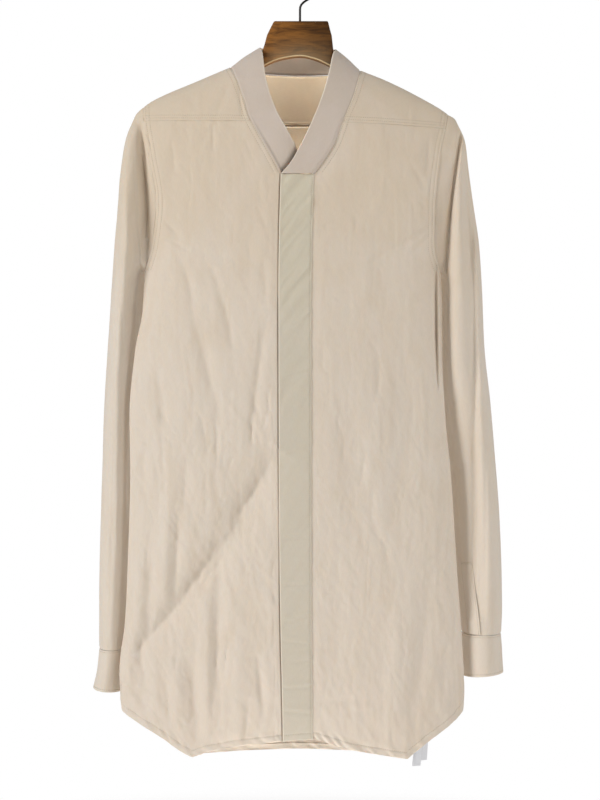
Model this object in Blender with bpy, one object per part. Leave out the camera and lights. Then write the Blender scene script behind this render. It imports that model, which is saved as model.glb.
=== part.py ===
"""Collarless long shirt hanging on a wooden hanger.

Metres, +Z up, front towards -Y. The origin is the point inside the top of the hook where a rod holds it.
Right and left in names are the wearer's, so the shirt's right side is at -X.
"""

import bpy
import bmesh
import math
import numpy as np
from mathutils import Vector

# ---------------------------------------------------------------- sizes

CLOTH = 0.0015            # wall of every cloth piece
BAND_CLOTH = 0.0018       # neck band, placket and cuffs are two layers
SEAM_GAP = 0.00035        # between pieces at a seam
LAY_GAP = 0.00040         # under a piece that lies on another
NORMAL_STEP = 0.0015      # steps along and around the surface that give its normals
NORMAL_TURN = 0.02
RIGHT, LEFT = -1, 1       # wearer's sides, as signs of x
FRONT, BACK = -1, 1       # as signs of y

FRONT_ROLL = 0.115        # height over which the front turns from the shoulder ridge to hanging cloth
BACK_ROLL = 0.085
FRONT_FLAT = 0.20         # share of the thin, lens-like part in the rounding at the side edges
BACK_FLAT = 0.70

NECK_POINT_Z = -0.2755    # foot of the V, where the placket starts
ARMPIT_Z = -0.400
LAST_LEVEL_Z = -0.930     # below it the rows bend to follow the hem
HEM_ROWS = 3
UNDER_PLACKET_X = 0.0094  # where the two fronts meet under the placket


class Table:
    """Rows with named columns, read smoothly along the first column."""

    def __init__(self, names, rows, straight=False):
        self.names = names.split()
        self.rows = sorted(rows)
        self.straight = straight
        self.data = np.array(self.rows, dtype=float)

    def at(self, name, where):
        x = self.data[:, 0]
        y = self.data[:, self.names.index(name)]
        if self.straight or where <= x[0] or where >= x[-1]:
            return float(np.interp(where, x, y))
        i = int(np.searchsorted(x, where)) - 1
        h = np.diff(x)
        rise = np.diff(y) / h
        slopes = np.zeros(len(x))
        same = rise[:-1] * rise[1:] > 0
        slopes[1:-1][same] = 2 * rise[:-1][same] * rise[1:][same] / (rise[:-1] + rise[1:])[same]
        slopes[0], slopes[-1] = rise[0], rise[-1]
        t = (where - x[i]) / h[i]
        return float((1 + 2 * t) * (1 - t) ** 2 * y[i] + t * (1 - t) ** 2 * h[i] * slopes[i]
                     + t * t * (3 - 2 * t) * y[i + 1] - t * t * (1 - t) * h[i] * slopes[i + 1])


# side edges, the y of the side seam, and how far front and back stand from it in the middle;
# above the armpit the edges are those of the sheet before the armholes are cut
BODY = Table("z right left side front back", [
    (-0.100, -0.2360, 0.2190, 0.000, 0.050, 0.055),
    (-0.200, -0.2340, 0.2190, 0.000, 0.050, 0.058),
    (-0.300, -0.2220, 0.2070, 0.000, 0.051, 0.061),
    (-0.400, -0.2062, 0.1840, -0.006, 0.048, 0.068),
    (-0.450, -0.2080, 0.1830, -0.008, 0.046, 0.071),
    (-0.505, -0.2178, 0.1850, -0.010, 0.045, 0.074),
    (-0.590, -0.2250, 0.1917, -0.012, 0.044, 0.077),
    (-0.665, -0.2240, 0.1988, -0.013, 0.044, 0.080),
    (-0.795, -0.2275, 0.2072, -0.014, 0.045, 0.083),
    (-0.860, -0.2307, 0.2120, -0.013, 0.046, 0.084),
    (-0.928, -0.2383, 0.2158, -0.012, 0.048, 0.085),
    (-0.970, -0.2361, 0.2163, -0.012, 0.049, 0.086),
    (-1.050, -0.2340, 0.2150, -0.011, 0.050, 0.087),
])

# the shoulder line over the hanger; inside the neck it is the height the cloth would have
RIDGE = Table("x z", [
    (-0.240, -0.2130), (-0.2073, -0.1845), (-0.1921, -0.1719), (-0.1312, -0.1454), (-0.0918, -0.1288),
    (-0.040, -0.1100), (-0.005, -0.1000), (0.035, -0.1120), (0.0795, -0.1328), (0.1113, -0.1454),
    (0.1643, -0.1719), (0.1965, -0.1915), (0.230, -0.2200),
])

ARMHOLE = Table("z right left", [
    (-0.1845, -0.2073, 0.1965), (-0.200, -0.2068, 0.1950), (-0.243, -0.1999, 0.1860),
    (-0.310, -0.1893, 0.1785), (-0.367, -0.1960, 0.1765), (-0.400, -0.2062, 0.1840),
])
SHOULDER_POINT_X = {RIGHT: -0.2073, LEFT: 0.1965}

# seam of the neck band on the fronts, from the foot of the V to the shoulder ridge
NECK_FRONT = Table("z right left", [
    (-0.2755, -0.0250, 0.0185), (-0.2561, -0.0351, 0.0325), (-0.2353, -0.0468, 0.0452),
    (-0.2142, -0.0588, 0.0530), (-0.1982, -0.0668, 0.0588), (-0.1734, -0.0745, 0.0689),
    (-0.1520, -0.0815, 0.0752), (-0.1328, -0.0900, 0.0795), (-0.1288, -0.0918, 0.0795),
])
NECK_RIDGE_X = {RIGHT: -0.0918, LEFT: 0.0795}
NECK_BACK = Table("x z", [
    (-0.0918, -0.1288), (-0.083, -0.1302), (-0.050, -0.1322), (-0.005, -0.1330),
    (0.040, -0.1335), (0.070, -0.1334), (0.0795, -0.1328),
])

# upper edge of the neck band; "along" is 0 at the foot of the V and 1 at the shoulder ridge
BAND_EDGE = Table("along rightX rightZ leftX leftZ y", [
    (0.00, 0.0020, -0.2751, -0.0247, -0.2751, -0.0505), (0.20, -0.0030, -0.2460, -0.0120, -0.2600, -0.0505),
    (0.42, -0.0178, -0.2157, 0.0052, -0.2285, -0.0503), (0.56, -0.0294, -0.1944, 0.0165, -0.2040, -0.0485),
    (0.74, -0.0411, -0.1632, 0.0287, -0.1727, -0.0425), (0.86, -0.0464, -0.1381, 0.0380, -0.1400, -0.0330),
    (0.94, -0.0500, -0.1100, 0.0435, -0.1130, -0.0150), (1.00, -0.0527, -0.1019, 0.0469, -0.1045, 0.0000),
])
BAND_ON_BODY = 0.5        # below this the band's upper edge lies on the body's surface
BAND_COLUMNS = [0, 0.35, 0.7, 1]
BAND_LAP_END = 0.25       # the left end lies fully over the right one up to here, as a share of its length
BAND_LAP_FADE = 0.30
BAND_BACK_TOP_Z = -0.0970
BAND_BACK_TOP_Y = 0.0400
BAND_BACK_BEND = 0.8      # under 1 makes the back of the band fuller than an arch

FRONT_YOKE_SEAM = Table("x z", [(-0.2068, -0.2005), (-0.0677, -0.2048), (0.056, -0.2065), (0.1937, -0.2105)])
BACK_YOKE_SEAM_Z = -0.1995
YOKE_END_X = 0.2          # about where the front seam meets the armholes and the band
YOKE_NECK_X = 0.06

FRONT_HEM = Table("x z", [
    (-0.2361, -0.9705), (-0.1404, -1.0342), (-0.0778, -1.0180), (-0.0220, -1.0113), (0.0191, -1.0084),
    (0.0480, -1.0178), (0.0661, -1.0232), (0.1398, -1.0369), (0.2163, -0.9695),
], straight=True)
BACK_HEM = Table("x z", [
    (-0.2361, -0.9705), (-0.1450, -1.0470), (-0.005, -1.0440), (0.136, -1.0460), (0.2163, -0.9695),
], straight=True)
SIDE_HEM_Z = -0.970

PLACKET = Table("z right left", [(-1.040, -0.0220, 0.0191), (-0.2755, -0.0250, 0.0185)])

FOLD_ENDS = 0.6           # under 1 makes a fold reach its depth sooner after its ends
# largest folds: a bowed line on the cloth, the half width of the trough and its depth (ridges negative)
FOLDS = {
    FRONT: [dict(start=(-0.036, -0.641), end=(-0.222, -0.910), bow=0.016, width=0.024, depth=0.0060),
            dict(start=(-0.020, -0.700), end=(-0.175, -0.935), bow=0.016, width=0.030, depth=-0.0035),
            dict(start=(-0.160, -0.330), end=(-0.120, -0.640), bow=0.006, width=0.022, depth=0.0025),
            dict(start=(0.150, -0.330), end=(0.120, -0.700), bow=-0.005, width=0.024, depth=0.0022),
            dict(start=(-0.168, -0.820), end=(-0.150, -1.040), bow=0.000, width=0.020, depth=0.0030)],
    BACK: [dict(start=(-0.090, -0.240), end=(-0.120, -0.900), bow=0.010, width=0.030, depth=0.0045),
           dict(start=(0.070, -0.230), end=(0.110, -0.860), bow=-0.008, width=0.028, depth=0.0040),
           dict(start=(0.020, -0.400), end=(-0.150, -0.820), bow=0.014, width=0.026, depth=0.0035)],
}

# levels of the rows of the body panels, below the yoke seams
LEVELS = [-0.235, -0.2553, NECK_POINT_Z, -0.305, -0.336, -0.368, ARMPIT_Z, -0.425, -0.450, -0.500, -0.550,
          -0.600, -0.650, -0.700, -0.750, -0.800, -0.845, -0.890, LAST_LEVEL_Z]
NECK_LEVELS = LEVELS.index(NECK_POINT_Z) + 1
ARMHOLE_LEVELS = LEVELS.index(ARMPIT_Z)

# places of the columns: share of the way from the outer edge to the front edge, closer at the edge;
# the eighth stands at the corner of the hem
COLUMNS = {RIGHT: [0, 0.008, 0.03, 0.07, 0.13, 0.21, 0.32, 0.447, 0.60, 0.80, 1],
           LEFT: [0, 0.008, 0.03, 0.07, 0.12, 0.19, 0.28, 0.388, 0.56, 0.78, 1]}
BACK_COLUMNS = [0, 0.006, 0.022, 0.05, 0.09, 0.145, 0.2015, 0.30, 0.40, 0.50,
                0.60, 0.71, 0.8225, 0.87, 0.915, 0.95, 0.978, 0.994, 1]
YOKE_STEPS = 4            # rows from a yoke seam to the shoulder ridge
NECK_CROWDING = 0.06      # how much closer the yoke's lines start at the sides of the neck

# sleeves: each ring is an oval whose outer and inner points lie on one slanting line
SLEEVES = {
    RIGHT: Table("ring outerX outerZ innerX innerZ y depth", [
        (1, -0.2205, -0.1915, -0.2110, -0.3995, 0.004, 0.022),
        (2, -0.2326, -0.2230, -0.2140, -0.4020, 0.007, 0.034),
        (3, -0.2380, -0.2640, -0.2160, -0.4080, 0.013, 0.046),
        (4, -0.2425, -0.3130, -0.2170, -0.4200, 0.022, 0.054),
        (5, -0.2480, -0.3650, -0.2170, -0.4400, 0.031, 0.059),
        (6, -0.2530, -0.4300, -0.2165, -0.4700, 0.038, 0.060),
        (7, -0.2575, -0.5000, -0.2180, -0.5150, 0.041, 0.060),
        (8, -0.2621, -0.5750, -0.2215, -0.5790, 0.040, 0.058),
        (9, -0.2645, -0.6500, -0.2240, -0.6510, 0.038, 0.055),
        (10, -0.2662, -0.7250, -0.2255, -0.7250, 0.036, 0.053),
        (11, -0.2678, -0.8000, -0.2280, -0.8000, 0.034, 0.051),
        (12, -0.2685, -0.8600, -0.2310, -0.8600, 0.032, 0.048),
        (13, -0.2683, -0.9000, -0.2325, -0.9000, 0.031, 0.045),
    ]),
    LEFT: Table("ring outerX outerZ innerX innerZ y depth", [
        (1, 0.2040, -0.1975, 0.1885, -0.4025, 0.004, 0.022),
        (2, 0.2185, -0.2260, 0.1925, -0.4040, 0.007, 0.034),
        (3, 0.2240, -0.2640, 0.1950, -0.4080, 0.012, 0.045),
        (4, 0.2315, -0.3130, 0.1960, -0.4180, 0.019, 0.052),
        (5, 0.2395, -0.3650, 0.1950, -0.4360, 0.026, 0.056),
        (6, 0.2440, -0.4300, 0.1930, -0.4640, 0.031, 0.058),
        (7, 0.2470, -0.5000, 0.1930, -0.5130, 0.033, 0.058),
        (8, 0.2550, -0.5750, 0.1985, -0.5790, 0.032, 0.056),
        (9, 0.2610, -0.6500, 0.2045, -0.6510, 0.031, 0.053),
        (10, 0.2668, -0.7250, 0.2095, -0.7250, 0.030, 0.051),
        (11, 0.2696, -0.8000, 0.2130, -0.8000, 0.028, 0.049),
        (12, 0.2700, -0.8450, 0.2158, -0.8450, 0.027, 0.046),
        (13, 0.2685, -0.8798, 0.2175, -0.8798, 0.026, 0.043),
    ]),
}
CUFFS = {
    RIGHT: Table("ring outerX outerZ innerX innerZ y depth", [
        (0, -0.2683, -0.9004, -0.2325, -0.9004, 0.031, 0.045),
        (1, -0.2712, -0.9270, -0.2345, -0.9290, 0.031, 0.045),
        (2, -0.2770, -0.9530, -0.2370, -0.9570, 0.031, 0.045),
    ]),
    LEFT: Table("ring outerX outerZ innerX innerZ y depth", [
        (0, 0.2685, -0.8802, 0.2175, -0.8802, 0.026, 0.043),
        (1, 0.2698, -0.9060, 0.2185, -0.9080, 0.026, 0.043),
        (2, 0.2716, -0.9320, 0.2194, -0.9365, 0.026, 0.043),
    ]),
}
# sleeve plackets: levels of both ends and the part of the ring they cover (0 is outside, 90 in front)
SLEEVE_PLACKETS = {RIGHT: dict(top=-0.812, foot=-0.8985, start=196, end=228),
                   LEFT: dict(top=-0.788, foot=-0.8782, start=100, end=140)}
SLEEVE_PLACKET_ROWS = 4
SLEEVE_PLACKET_COLUMNS = 4
PLACKET_EASE = 0.0003     # more room under a sleeve placket, as it is flatter than the sleeve

# care labels: strips sewn in the left side seam that hang down inside; "turn" is the angle of the
# strip's width from upright (0) to level (90)
LABEL_CLOTH = 0.0010
LABEL_LEAN_X = 0.45       # direction in which the width of a level strip lies
LABEL_LEAN_Y = 0.89
LABELS = {
    "care_label_large": dict(width=0.028, start=(0.2136, -0.0120, -0.9420), rows=[
        (0.205, -0.010, -0.9460, 8), (0.186, -0.003, -0.9700, 30),
        (0.166, 0.006, -1.0080, 62), (0.1555, 0.008, -1.0550, 84)]),
    "care_label_small": dict(width=0.020, start=(0.2120, -0.0120, -0.9080), rows=[
        (0.205, -0.014, -0.9110, 8), (0.190, -0.018, -0.9400, 34),
        (0.174, -0.020, -0.9900, 64), (0.1650, -0.020, -1.0405, 84)]),
}

# hanger: sections along x, flat wood with a block under the hook and arms inside the shoulders
HANGER = [
    dict(x=-0.1965, top=-0.1820, bottom=-0.1900, half=0.0040),
    dict(x=-0.1920, top=-0.1775, bottom=-0.1925, half=0.0058),
    dict(x=-0.1800, top=-0.1712, bottom=-0.1905, half=0.0065),
    dict(x=-0.1312, top=-0.1490, bottom=-0.1705, half=0.0075),
    dict(x=-0.0918, top=-0.1331, bottom=-0.1525, half=0.0080),
    dict(x=-0.0660, top=-0.1192, bottom=-0.1380, half=0.0070),
    dict(x=-0.0500, top=-0.1086, bottom=-0.1295, half=0.0080),
    dict(x=-0.0436, top=-0.0872, bottom=-0.1258, half=0.0090),
    dict(x=-0.0396, top=-0.0790, bottom=-0.1238, half=0.0090),
    dict(x=-0.0343, top=-0.0687, bottom=-0.1215, half=0.0090),
    dict(x=-0.0200, top=-0.0687, bottom=-0.1175, half=0.0090),
    dict(x=0.0000, top=-0.0687, bottom=-0.1150, half=0.0090),
    dict(x=0.0200, top=-0.0687, bottom=-0.1190, half=0.0090),
    dict(x=0.0370, top=-0.0687, bottom=-0.1265, half=0.0090),
    dict(x=0.0395, top=-0.0790, bottom=-0.1280, half=0.0090),
    dict(x=0.0420, top=-0.0880, bottom=-0.1300, half=0.0090),
    dict(x=0.0446, top=-0.1112, bottom=-0.1325, half=0.0064),
    dict(x=0.0600, top=-0.1250, bottom=-0.1410, half=0.0070),
    dict(x=0.0795, top=-0.1368, bottom=-0.1530, half=0.0080),
    dict(x=0.1113, top=-0.1493, bottom=-0.1695, half=0.0075),
    dict(x=0.1643, top=-0.1765, bottom=-0.1940, half=0.0062),
    dict(x=0.1800, top=-0.1865, bottom=-0.1990, half=0.0050),
    dict(x=0.1840, top=-0.1900, bottom=-0.1980, half=0.0038),
]
SHANK_TOP_Z = -0.0687     # top of the block under the hook
HANGER_EDGE = 0.50        # how far the long edges are rounded, as a share of the half thickness

# hook: round wire, a straight shank, a small bend and a round hook over the shank
WIRE = 0.0015             # radius of the wire
HOOK_RADIUS = 0.0200      # inside of the hook
HOOK_END_ANGLE = 205      # degrees from +X, over the top
HOOK_START_ANGLE = -62
SHANK_SEAT = 0.0004


# ---------------------------------------------------------------- the shape of the body

def foldDepth(side, x, z):
    total = 0.0
    for fold in FOLDS[side]:
        x0, z0 = fold["start"]
        x1, z1 = fold["end"]
        length = math.hypot(x1 - x0, z1 - z0)
        along = ((x - x0) * (x1 - x0) + (z - z0) * (z1 - z0)) / length ** 2
        across = ((x - x0) * (z1 - z0) - (z - z0) * (x1 - x0)) / length
        if not 0 < along < 1:
            continue
        across += fold["bow"] * 4 * along * (1 - along)
        ends = math.sin(math.pi * along) ** FOLD_ENDS
        total += fold["depth"] * ends * math.exp(-(across / fold["width"]) ** 2)
    return total


def bodyY(side, x, z):
    """y of the hanging cloth, before it turns over the shoulder."""
    right = BODY.at("right", z)
    left = BODY.at("left", z)
    share = max(-1.0, min(1.0, (2 * x - right - left) / (left - right)))
    sine = math.sqrt(max(0.0, 1 - share * share))
    flat = FRONT_FLAT if side == FRONT else BACK_FLAT
    depth = BODY.at("front" if side == FRONT else "back", z)
    swell = (1 - flat) * sine + flat * sine * sine
    return BODY.at("side", z) + side * (depth * swell - foldDepth(side, x, z) * min(1.0, 2 * sine))


def rollOf(side):
    return FRONT_ROLL if side == FRONT else BACK_ROLL


def torsoByDrop(side, x, drop):
    """Point on the body's outer surface, a way down from the shoulder ridge."""
    roll = rollOf(side)
    turn = drop / roll
    if turn < math.pi / 2:
        z = RIDGE.at("z", x) - roll * (1 - math.cos(turn))
        return Vector((x, bodyY(side, x, z) * math.sin(turn), z))
    z = RIDGE.at("z", x) - roll - (drop - roll * math.pi / 2)
    return Vector((x, bodyY(side, x, z), z))


def dropAt(side, x, z):
    roll = rollOf(side)
    down = max(0.0, RIDGE.at("z", x) - z)
    if down < roll:
        return roll * math.acos(1 - down / roll)
    return roll * math.pi / 2 + down - roll


def torsoPoint(side, x, z):
    return torsoByDrop(side, x, dropAt(side, x, z))


def torsoNormal(side, x, z):
    """Outward unit normal, from small steps along the surface."""
    step = NORMAL_STEP
    drop = dropAt(side, x, z)
    if drop < rollOf(side) * math.pi / 2:
        low = max(drop - step, -step)
        across = torsoByDrop(side, x + step, drop) - torsoByDrop(side, x - step, drop)
        if low < 0:
            down = torsoByDrop(side, x, step) - torsoByDrop(-side, x, step)
        else:
            down = torsoByDrop(side, x, drop + step) - torsoByDrop(side, x, low)
    else:
        right = BODY.at("right", z)
        left = BODY.at("left", z)
        angle = math.acos(max(-1.0, min(1.0, (2 * x - right - left) / (left - right))))
        turn = NORMAL_TURN

        def around(a, height):
            r = BODY.at("right", height)
            l = BODY.at("left", height)
            half = side if math.sin(a) >= 0 else -side
            px = (r + l) / 2 + (l - r) / 2 * math.cos(a)
            return Vector((px, bodyY(half, px, height), height))

        across = around(angle - turn, z) - around(angle + turn, z)
        down = around(angle, z - step) - around(angle, z + step)
    normal = across.cross(down)
    normal.normalize()
    return normal * side


def edgeX(side, z):
    """Outer edge of the fronts and the back: the armhole, then the side seam."""
    name = "right" if side == RIGHT else "left"
    if z > ARMPIT_Z:
        return ARMHOLE.at(name, z)
    return BODY.at(name, z)


def lineX(side, z):
    """Where a front meets the neck band, and lower down the edge of the placket."""
    name = "right" if side == RIGHT else "left"
    if z > NECK_POINT_Z:
        return NECK_FRONT.at(name, z)
    return PLACKET.at(name, z)


# ---------------------------------------------------------------- making walls

def makeMaterial(name, colour, roughness, metallic=0.0):
    material = bpy.data.materials.new(name)
    material.use_nodes = True
    principled = material.node_tree.nodes["Principled BSDF"]
    principled.inputs["Base Color"].default_value = (*colour, 1)
    principled.inputs["Roughness"].default_value = roughness
    principled.inputs["Metallic"].default_value = metallic
    material.diffuse_color = (*colour, 1)
    return material


def makeObject(name, verts, faces, material):
    mesh = bpy.data.meshes.new(name)
    mesh.from_pydata([tuple(v) for v in verts], [], faces)
    work = bmesh.new()
    work.from_mesh(mesh)
    bmesh.ops.remove_doubles(work, verts=work.verts, dist=0.000001)
    bmesh.ops.recalc_face_normals(work, faces=work.faces)
    if work.calc_volume(signed=True) < 0:
        bmesh.ops.reverse_faces(work, faces=work.faces)
    work.to_mesh(mesh)
    work.free()
    mesh.materials.append(material)
    made = bpy.data.objects.new(name, mesh)
    bpy.context.collection.objects.link(made)
    return made


def makeWall(name, outer, inner, material, closed=False, present=None):
    """Wall between two grids of points; closed rings join their last column to the first."""
    rows = len(outer)
    columns = len(outer[0])
    verts = [p for row in outer for p in row] + [p for row in inner for p in row]
    half = rows * columns
    faces = []
    spans = columns if closed else columns - 1
    quads = []
    for j in range(rows - 1):
        for i in range(spans):
            if present is None or present(j, i):
                a = j * columns + i
                b = j * columns + (i + 1) % columns
                quads.append((a, b, b + columns, a + columns))
    edges = {}
    for quad in quads:
        a, b, c, d = quad
        for triangle in ((a, b, c), (a, c, d)):
            faces.append(triangle)
            faces.append(tuple(v + half for v in reversed(triangle)))
        for a, b in zip(quad, quad[1:] + quad[:1]):
            key = (min(a, b), max(a, b))
            edges[key] = None if key in edges else (a, b)
    for edge in edges.values():
        if edge:
            a, b = edge
            faces.append((b, a, a + half, b + half))
    used = sorted({v for face in faces for v in face})
    place = {v: k for k, v in enumerate(used)}
    return makeObject(name, [verts[v] for v in used], [tuple(place[v] for v in f) for f in faces], material)


def raised(points, normals, height):
    return [[p + n * height for p, n in zip(row, turned)] for row, turned in zip(points, normals)]


# ---------------------------------------------------------------- body panels

def panelLevel(hem, x, k):
    """z of row k in a column that stands at x."""
    if k < len(LEVELS):
        return LEVELS[k]
    share = (k - len(LEVELS) + 1) / HEM_ROWS
    return LAST_LEVEL_Z + (hem.at("z", x) - LAST_LEVEL_Z) * share


def rowGuide(k):
    """z that sets the outer edge of row k."""
    if k < len(LEVELS):
        return LEVELS[k]
    return LAST_LEVEL_Z + (SIDE_HEM_Z - LAST_LEVEL_Z) * (k - len(LEVELS) + 1) / HEM_ROWS


def frontSeamRow(side):
    """x and z along the front yoke seam, from the armhole to the neck band."""
    outer = ARMHOLE.at("right" if side == RIGHT else "left", FRONT_YOKE_SEAM.at("z", side * YOKE_END_X))
    guess = FRONT_YOKE_SEAM.at("z", side * YOKE_NECK_X)
    inner = lineX(side, guess)
    places = [outer + (inner - outer) * share for share in COLUMNS[side]]
    return [(x, FRONT_YOKE_SEAM.at("z", x)) for x in places]


def frontPlaces(side):
    """x and z of every point of a front, row by row, with the part under the placket."""
    seam = frontSeamRow(side)
    under = UNDER_PLACKET_X + side * SEAM_GAP / 2
    rows = [seam + [seam[-1]] * 2]
    for k in range(len(LEVELS) + HEM_ROWS):
        guide = rowGuide(k)
        outer = edgeX(side, guide)
        inner = lineX(side, guide)
        places = [outer + (inner - outer) * share for share in COLUMNS[side]]
        places += [inner + (under - inner) * 0.5, under]
        rows.append([(x, panelLevel(FRONT_HEM, x, k)) for x in places])
    return rows


def makeFront(side, name, material):
    rows = frontPlaces(side)
    rows[0] = [(x, z - SEAM_GAP * 1.5) for x, z in rows[0]]
    shift = Vector((side * SEAM_GAP, 0, 0))
    points = [[torsoPoint(FRONT, x, z) for x, z in row] for row in rows]
    normals = [[torsoNormal(FRONT, x, z) for x, z in row] for row in rows]
    last = len(COLUMNS[side]) - 1
    for k in range(NECK_LEVELS + 1):
        points[k][last] = points[k][last] + shift
    inner = raised(points, normals, -CLOTH)
    return makeWall(name, points, inner, material,
                    present=lambda j, i: i < last or j >= NECK_LEVELS)


def backSeamRow():
    right = ARMHOLE.at("right", BACK_YOKE_SEAM_Z)
    left = ARMHOLE.at("left", BACK_YOKE_SEAM_Z)
    return [(right + (left - right) * share, BACK_YOKE_SEAM_Z) for share in BACK_COLUMNS]


def makeBack(material):
    rows = [[(x, z - SEAM_GAP) for x, z in backSeamRow()]]
    for k in range(len(LEVELS) + HEM_ROWS):
        guide = rowGuide(k)
        right = edgeX(RIGHT, guide)
        left = edgeX(LEFT, guide)
        places = [right + (left - right) * share for share in BACK_COLUMNS]
        rows.append([(x, panelLevel(BACK_HEM, x, k)) for x in places])
    points = [[torsoPoint(BACK, x, z) for x, z in row] for row in rows]
    normals = [[torsoNormal(BACK, x, z) for x, z in row] for row in rows]
    gap = Vector((0, SEAM_GAP, 0))
    for k in range(ARMHOLE_LEVELS + 1, len(points)):
        points[k][0] = points[k][0] + gap
        points[k][-1] = points[k][-1] + gap
    return makeWall("back", points, raised(points, normals, -CLOTH), material)


def ridgeSteps(start, end):
    """Heights from a seam up to the ridge, closer together near the ridge; without the ends."""
    shares = [1 - (1 - q / YOKE_STEPS) ** 2 for q in range(1, YOKE_STEPS)]
    return [start + (end - start) * share for share in shares]


def armholeAcrossYoke(side, face):
    """Points of the armhole from a yoke seam to the shoulder point, as x and drop."""
    name = "right" if side == RIGHT else "left"
    top = RIDGE.at("z", SHOULDER_POINT_X[side])
    seam = FRONT_YOKE_SEAM.at("z", side * YOKE_END_X) if face == FRONT else BACK_YOKE_SEAM_Z
    found = [(ARMHOLE.at(name, seam), seam)]
    for z in ridgeSteps(seam, top):
        found.append((ARMHOLE.at(name, z), z))
    return [(x, dropAt(face, x, z)) for x, z in found]


def neckAcrossFront(side):
    """Points of the band's seam from the front yoke seam to the ridge, as x and drop."""
    x0, z0 = frontSeamRow(side)[-1]
    ridgeX = NECK_RIDGE_X[side]
    found = [(x0, z0)]
    for z in ridgeSteps(z0, RIDGE.at("z", ridgeX)):
        found.append((lineX(side, z), z))
    return [(x, dropAt(FRONT, x, z)) for x, z in found]


def neckAcrossBack():
    """Points of the band's seam behind the neck, from ridge to ridge, one per yoke row there."""
    start = NECK_RIDGE_X[RIGHT]
    end = NECK_RIDGE_X[LEFT]
    count = 2 * YOKE_STEPS + len(BACK_COLUMNS) - 1
    places = []
    for k in range(1, count):
        share = k / count
        x = start + (end - start) * (share - NECK_CROWDING * math.sin(2 * math.pi * share))
        places.append((x, dropAt(BACK, x, NECK_BACK.at("z", x))))
    return places


def yokeLines():
    """Inner and outer ends of each line of the yoke, from the right front over the back to the left."""
    inner = []
    outer = []
    for x, drop in neckAcrossFront(RIGHT):
        inner.append((FRONT, x, drop))
    for x, drop in armholeAcrossYoke(RIGHT, FRONT):
        outer.append((FRONT, x, drop))
    inner.append((BACK, NECK_RIDGE_X[RIGHT], 0.0))
    outer.append((BACK, SHOULDER_POINT_X[RIGHT], 0.0))
    for x, drop in neckAcrossBack():
        inner.append((BACK, x, drop))
    for x, drop in reversed(armholeAcrossYoke(RIGHT, BACK)[1:]):
        outer.append((BACK, x, drop))
    for x, z in backSeamRow():
        outer.append((BACK, x, dropAt(BACK, x, z)))
    for x, drop in armholeAcrossYoke(LEFT, BACK)[1:]:
        outer.append((BACK, x, drop))
    inner.append((BACK, NECK_RIDGE_X[LEFT], 0.0))
    outer.append((BACK, SHOULDER_POINT_X[LEFT], 0.0))
    for x, drop in reversed(neckAcrossFront(LEFT)):
        inner.append((FRONT, x, drop))
    for x, drop in reversed(armholeAcrossYoke(LEFT, FRONT)):
        outer.append((FRONT, x, drop))
    return inner, outer


def makeYoke(material):
    inner, outer = yokeLines()
    points = []
    normals = []
    for k in range(len(inner)):
        face, innerX, innerDrop = inner[k]
        outerX, outerDrop = outer[k][1:]
        across = k / (len(inner) - 1)
        inset = SEAM_GAP / math.hypot(outerX - innerX, outerDrop - innerDrop)
        row = []
        turned = []
        for share, other in zip(COLUMNS[RIGHT], COLUMNS[LEFT]):
            t = 1 - (share + (other - share) * across)
            t = t + (1 - t) * inset
            x = innerX + (outerX - innerX) * t
            drop = innerDrop + (outerDrop - innerDrop) * t
            if k in (0, len(inner) - 1):
                drop = dropAt(FRONT, x, FRONT_YOKE_SEAM.at("z", x))
            point = torsoByDrop(face, x, drop)
            row.append(point)
            turned.append(torsoNormal(face, x, point.z))
        points.append(row)
        normals.append(turned)
    return makeWall("yoke", points, raised(points, normals, -CLOTH), material)


# ---------------------------------------------------------------- neck band and placket

def bandSeam(side):
    """Points of the band's seam from the foot of the V to the ridge."""
    heights = [NECK_POINT_Z + SEAM_GAP] + LEVELS[NECK_LEVELS - 2::-1]
    found = [(lineX(side, z), z) for z in heights]
    found.append(frontSeamRow(side)[-1])
    points = [torsoPoint(FRONT, x, z) for x, z in found]
    for x, drop in neckAcrossFront(side)[1:]:
        points.append(torsoByDrop(FRONT, x, drop))
    points.append(torsoByDrop(FRONT, NECK_RIDGE_X[side], 0.0))
    return points


def bandTop(side, along):
    name = "right" if side == RIGHT else "left"
    x = BAND_EDGE.at(name + "X", along)
    z = BAND_EDGE.at(name + "Z", along)
    y = BAND_EDGE.at("y", along)
    if along < BAND_ON_BODY:
        y = torsoPoint(FRONT, x, z).y
    return Vector((x, y, z))


def makeBandWall(name, seam, top, lifts, ridgeRows, material):
    """Ruled wall from the seam to the upper edge; lifts raise all but the seam over what lies below."""
    columns = BAND_COLUMNS
    points = []
    for a, b in zip(seam, top):
        points.append([a + (b - a) * share for share in columns])
    normals = []
    for k in range(len(points)):
        before = points[max(0, k - 1)]
        after = points[min(len(points) - 1, k + 1)]
        turned = []
        for i in range(len(columns)):
            along = Vector((0, 1, 0)) if k in ridgeRows else after[i] - before[i]
            across = points[k][-1] - points[k][0]
            normal = across.cross(along)
            normal.normalize()
            if normal.dot(points[k][i] - Vector((0, 0, -0.30))) < 0:
                normal = -normal
            turned.append(normal)
        normals.append(turned)
    for k, turned in enumerate(normals):
        for i in range(1, len(columns)):
            points[k][i] = points[k][i] + turned[i] * lifts[k]
    return makeWall(name, points, raised(points, normals, -BAND_CLOTH), material)


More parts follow.
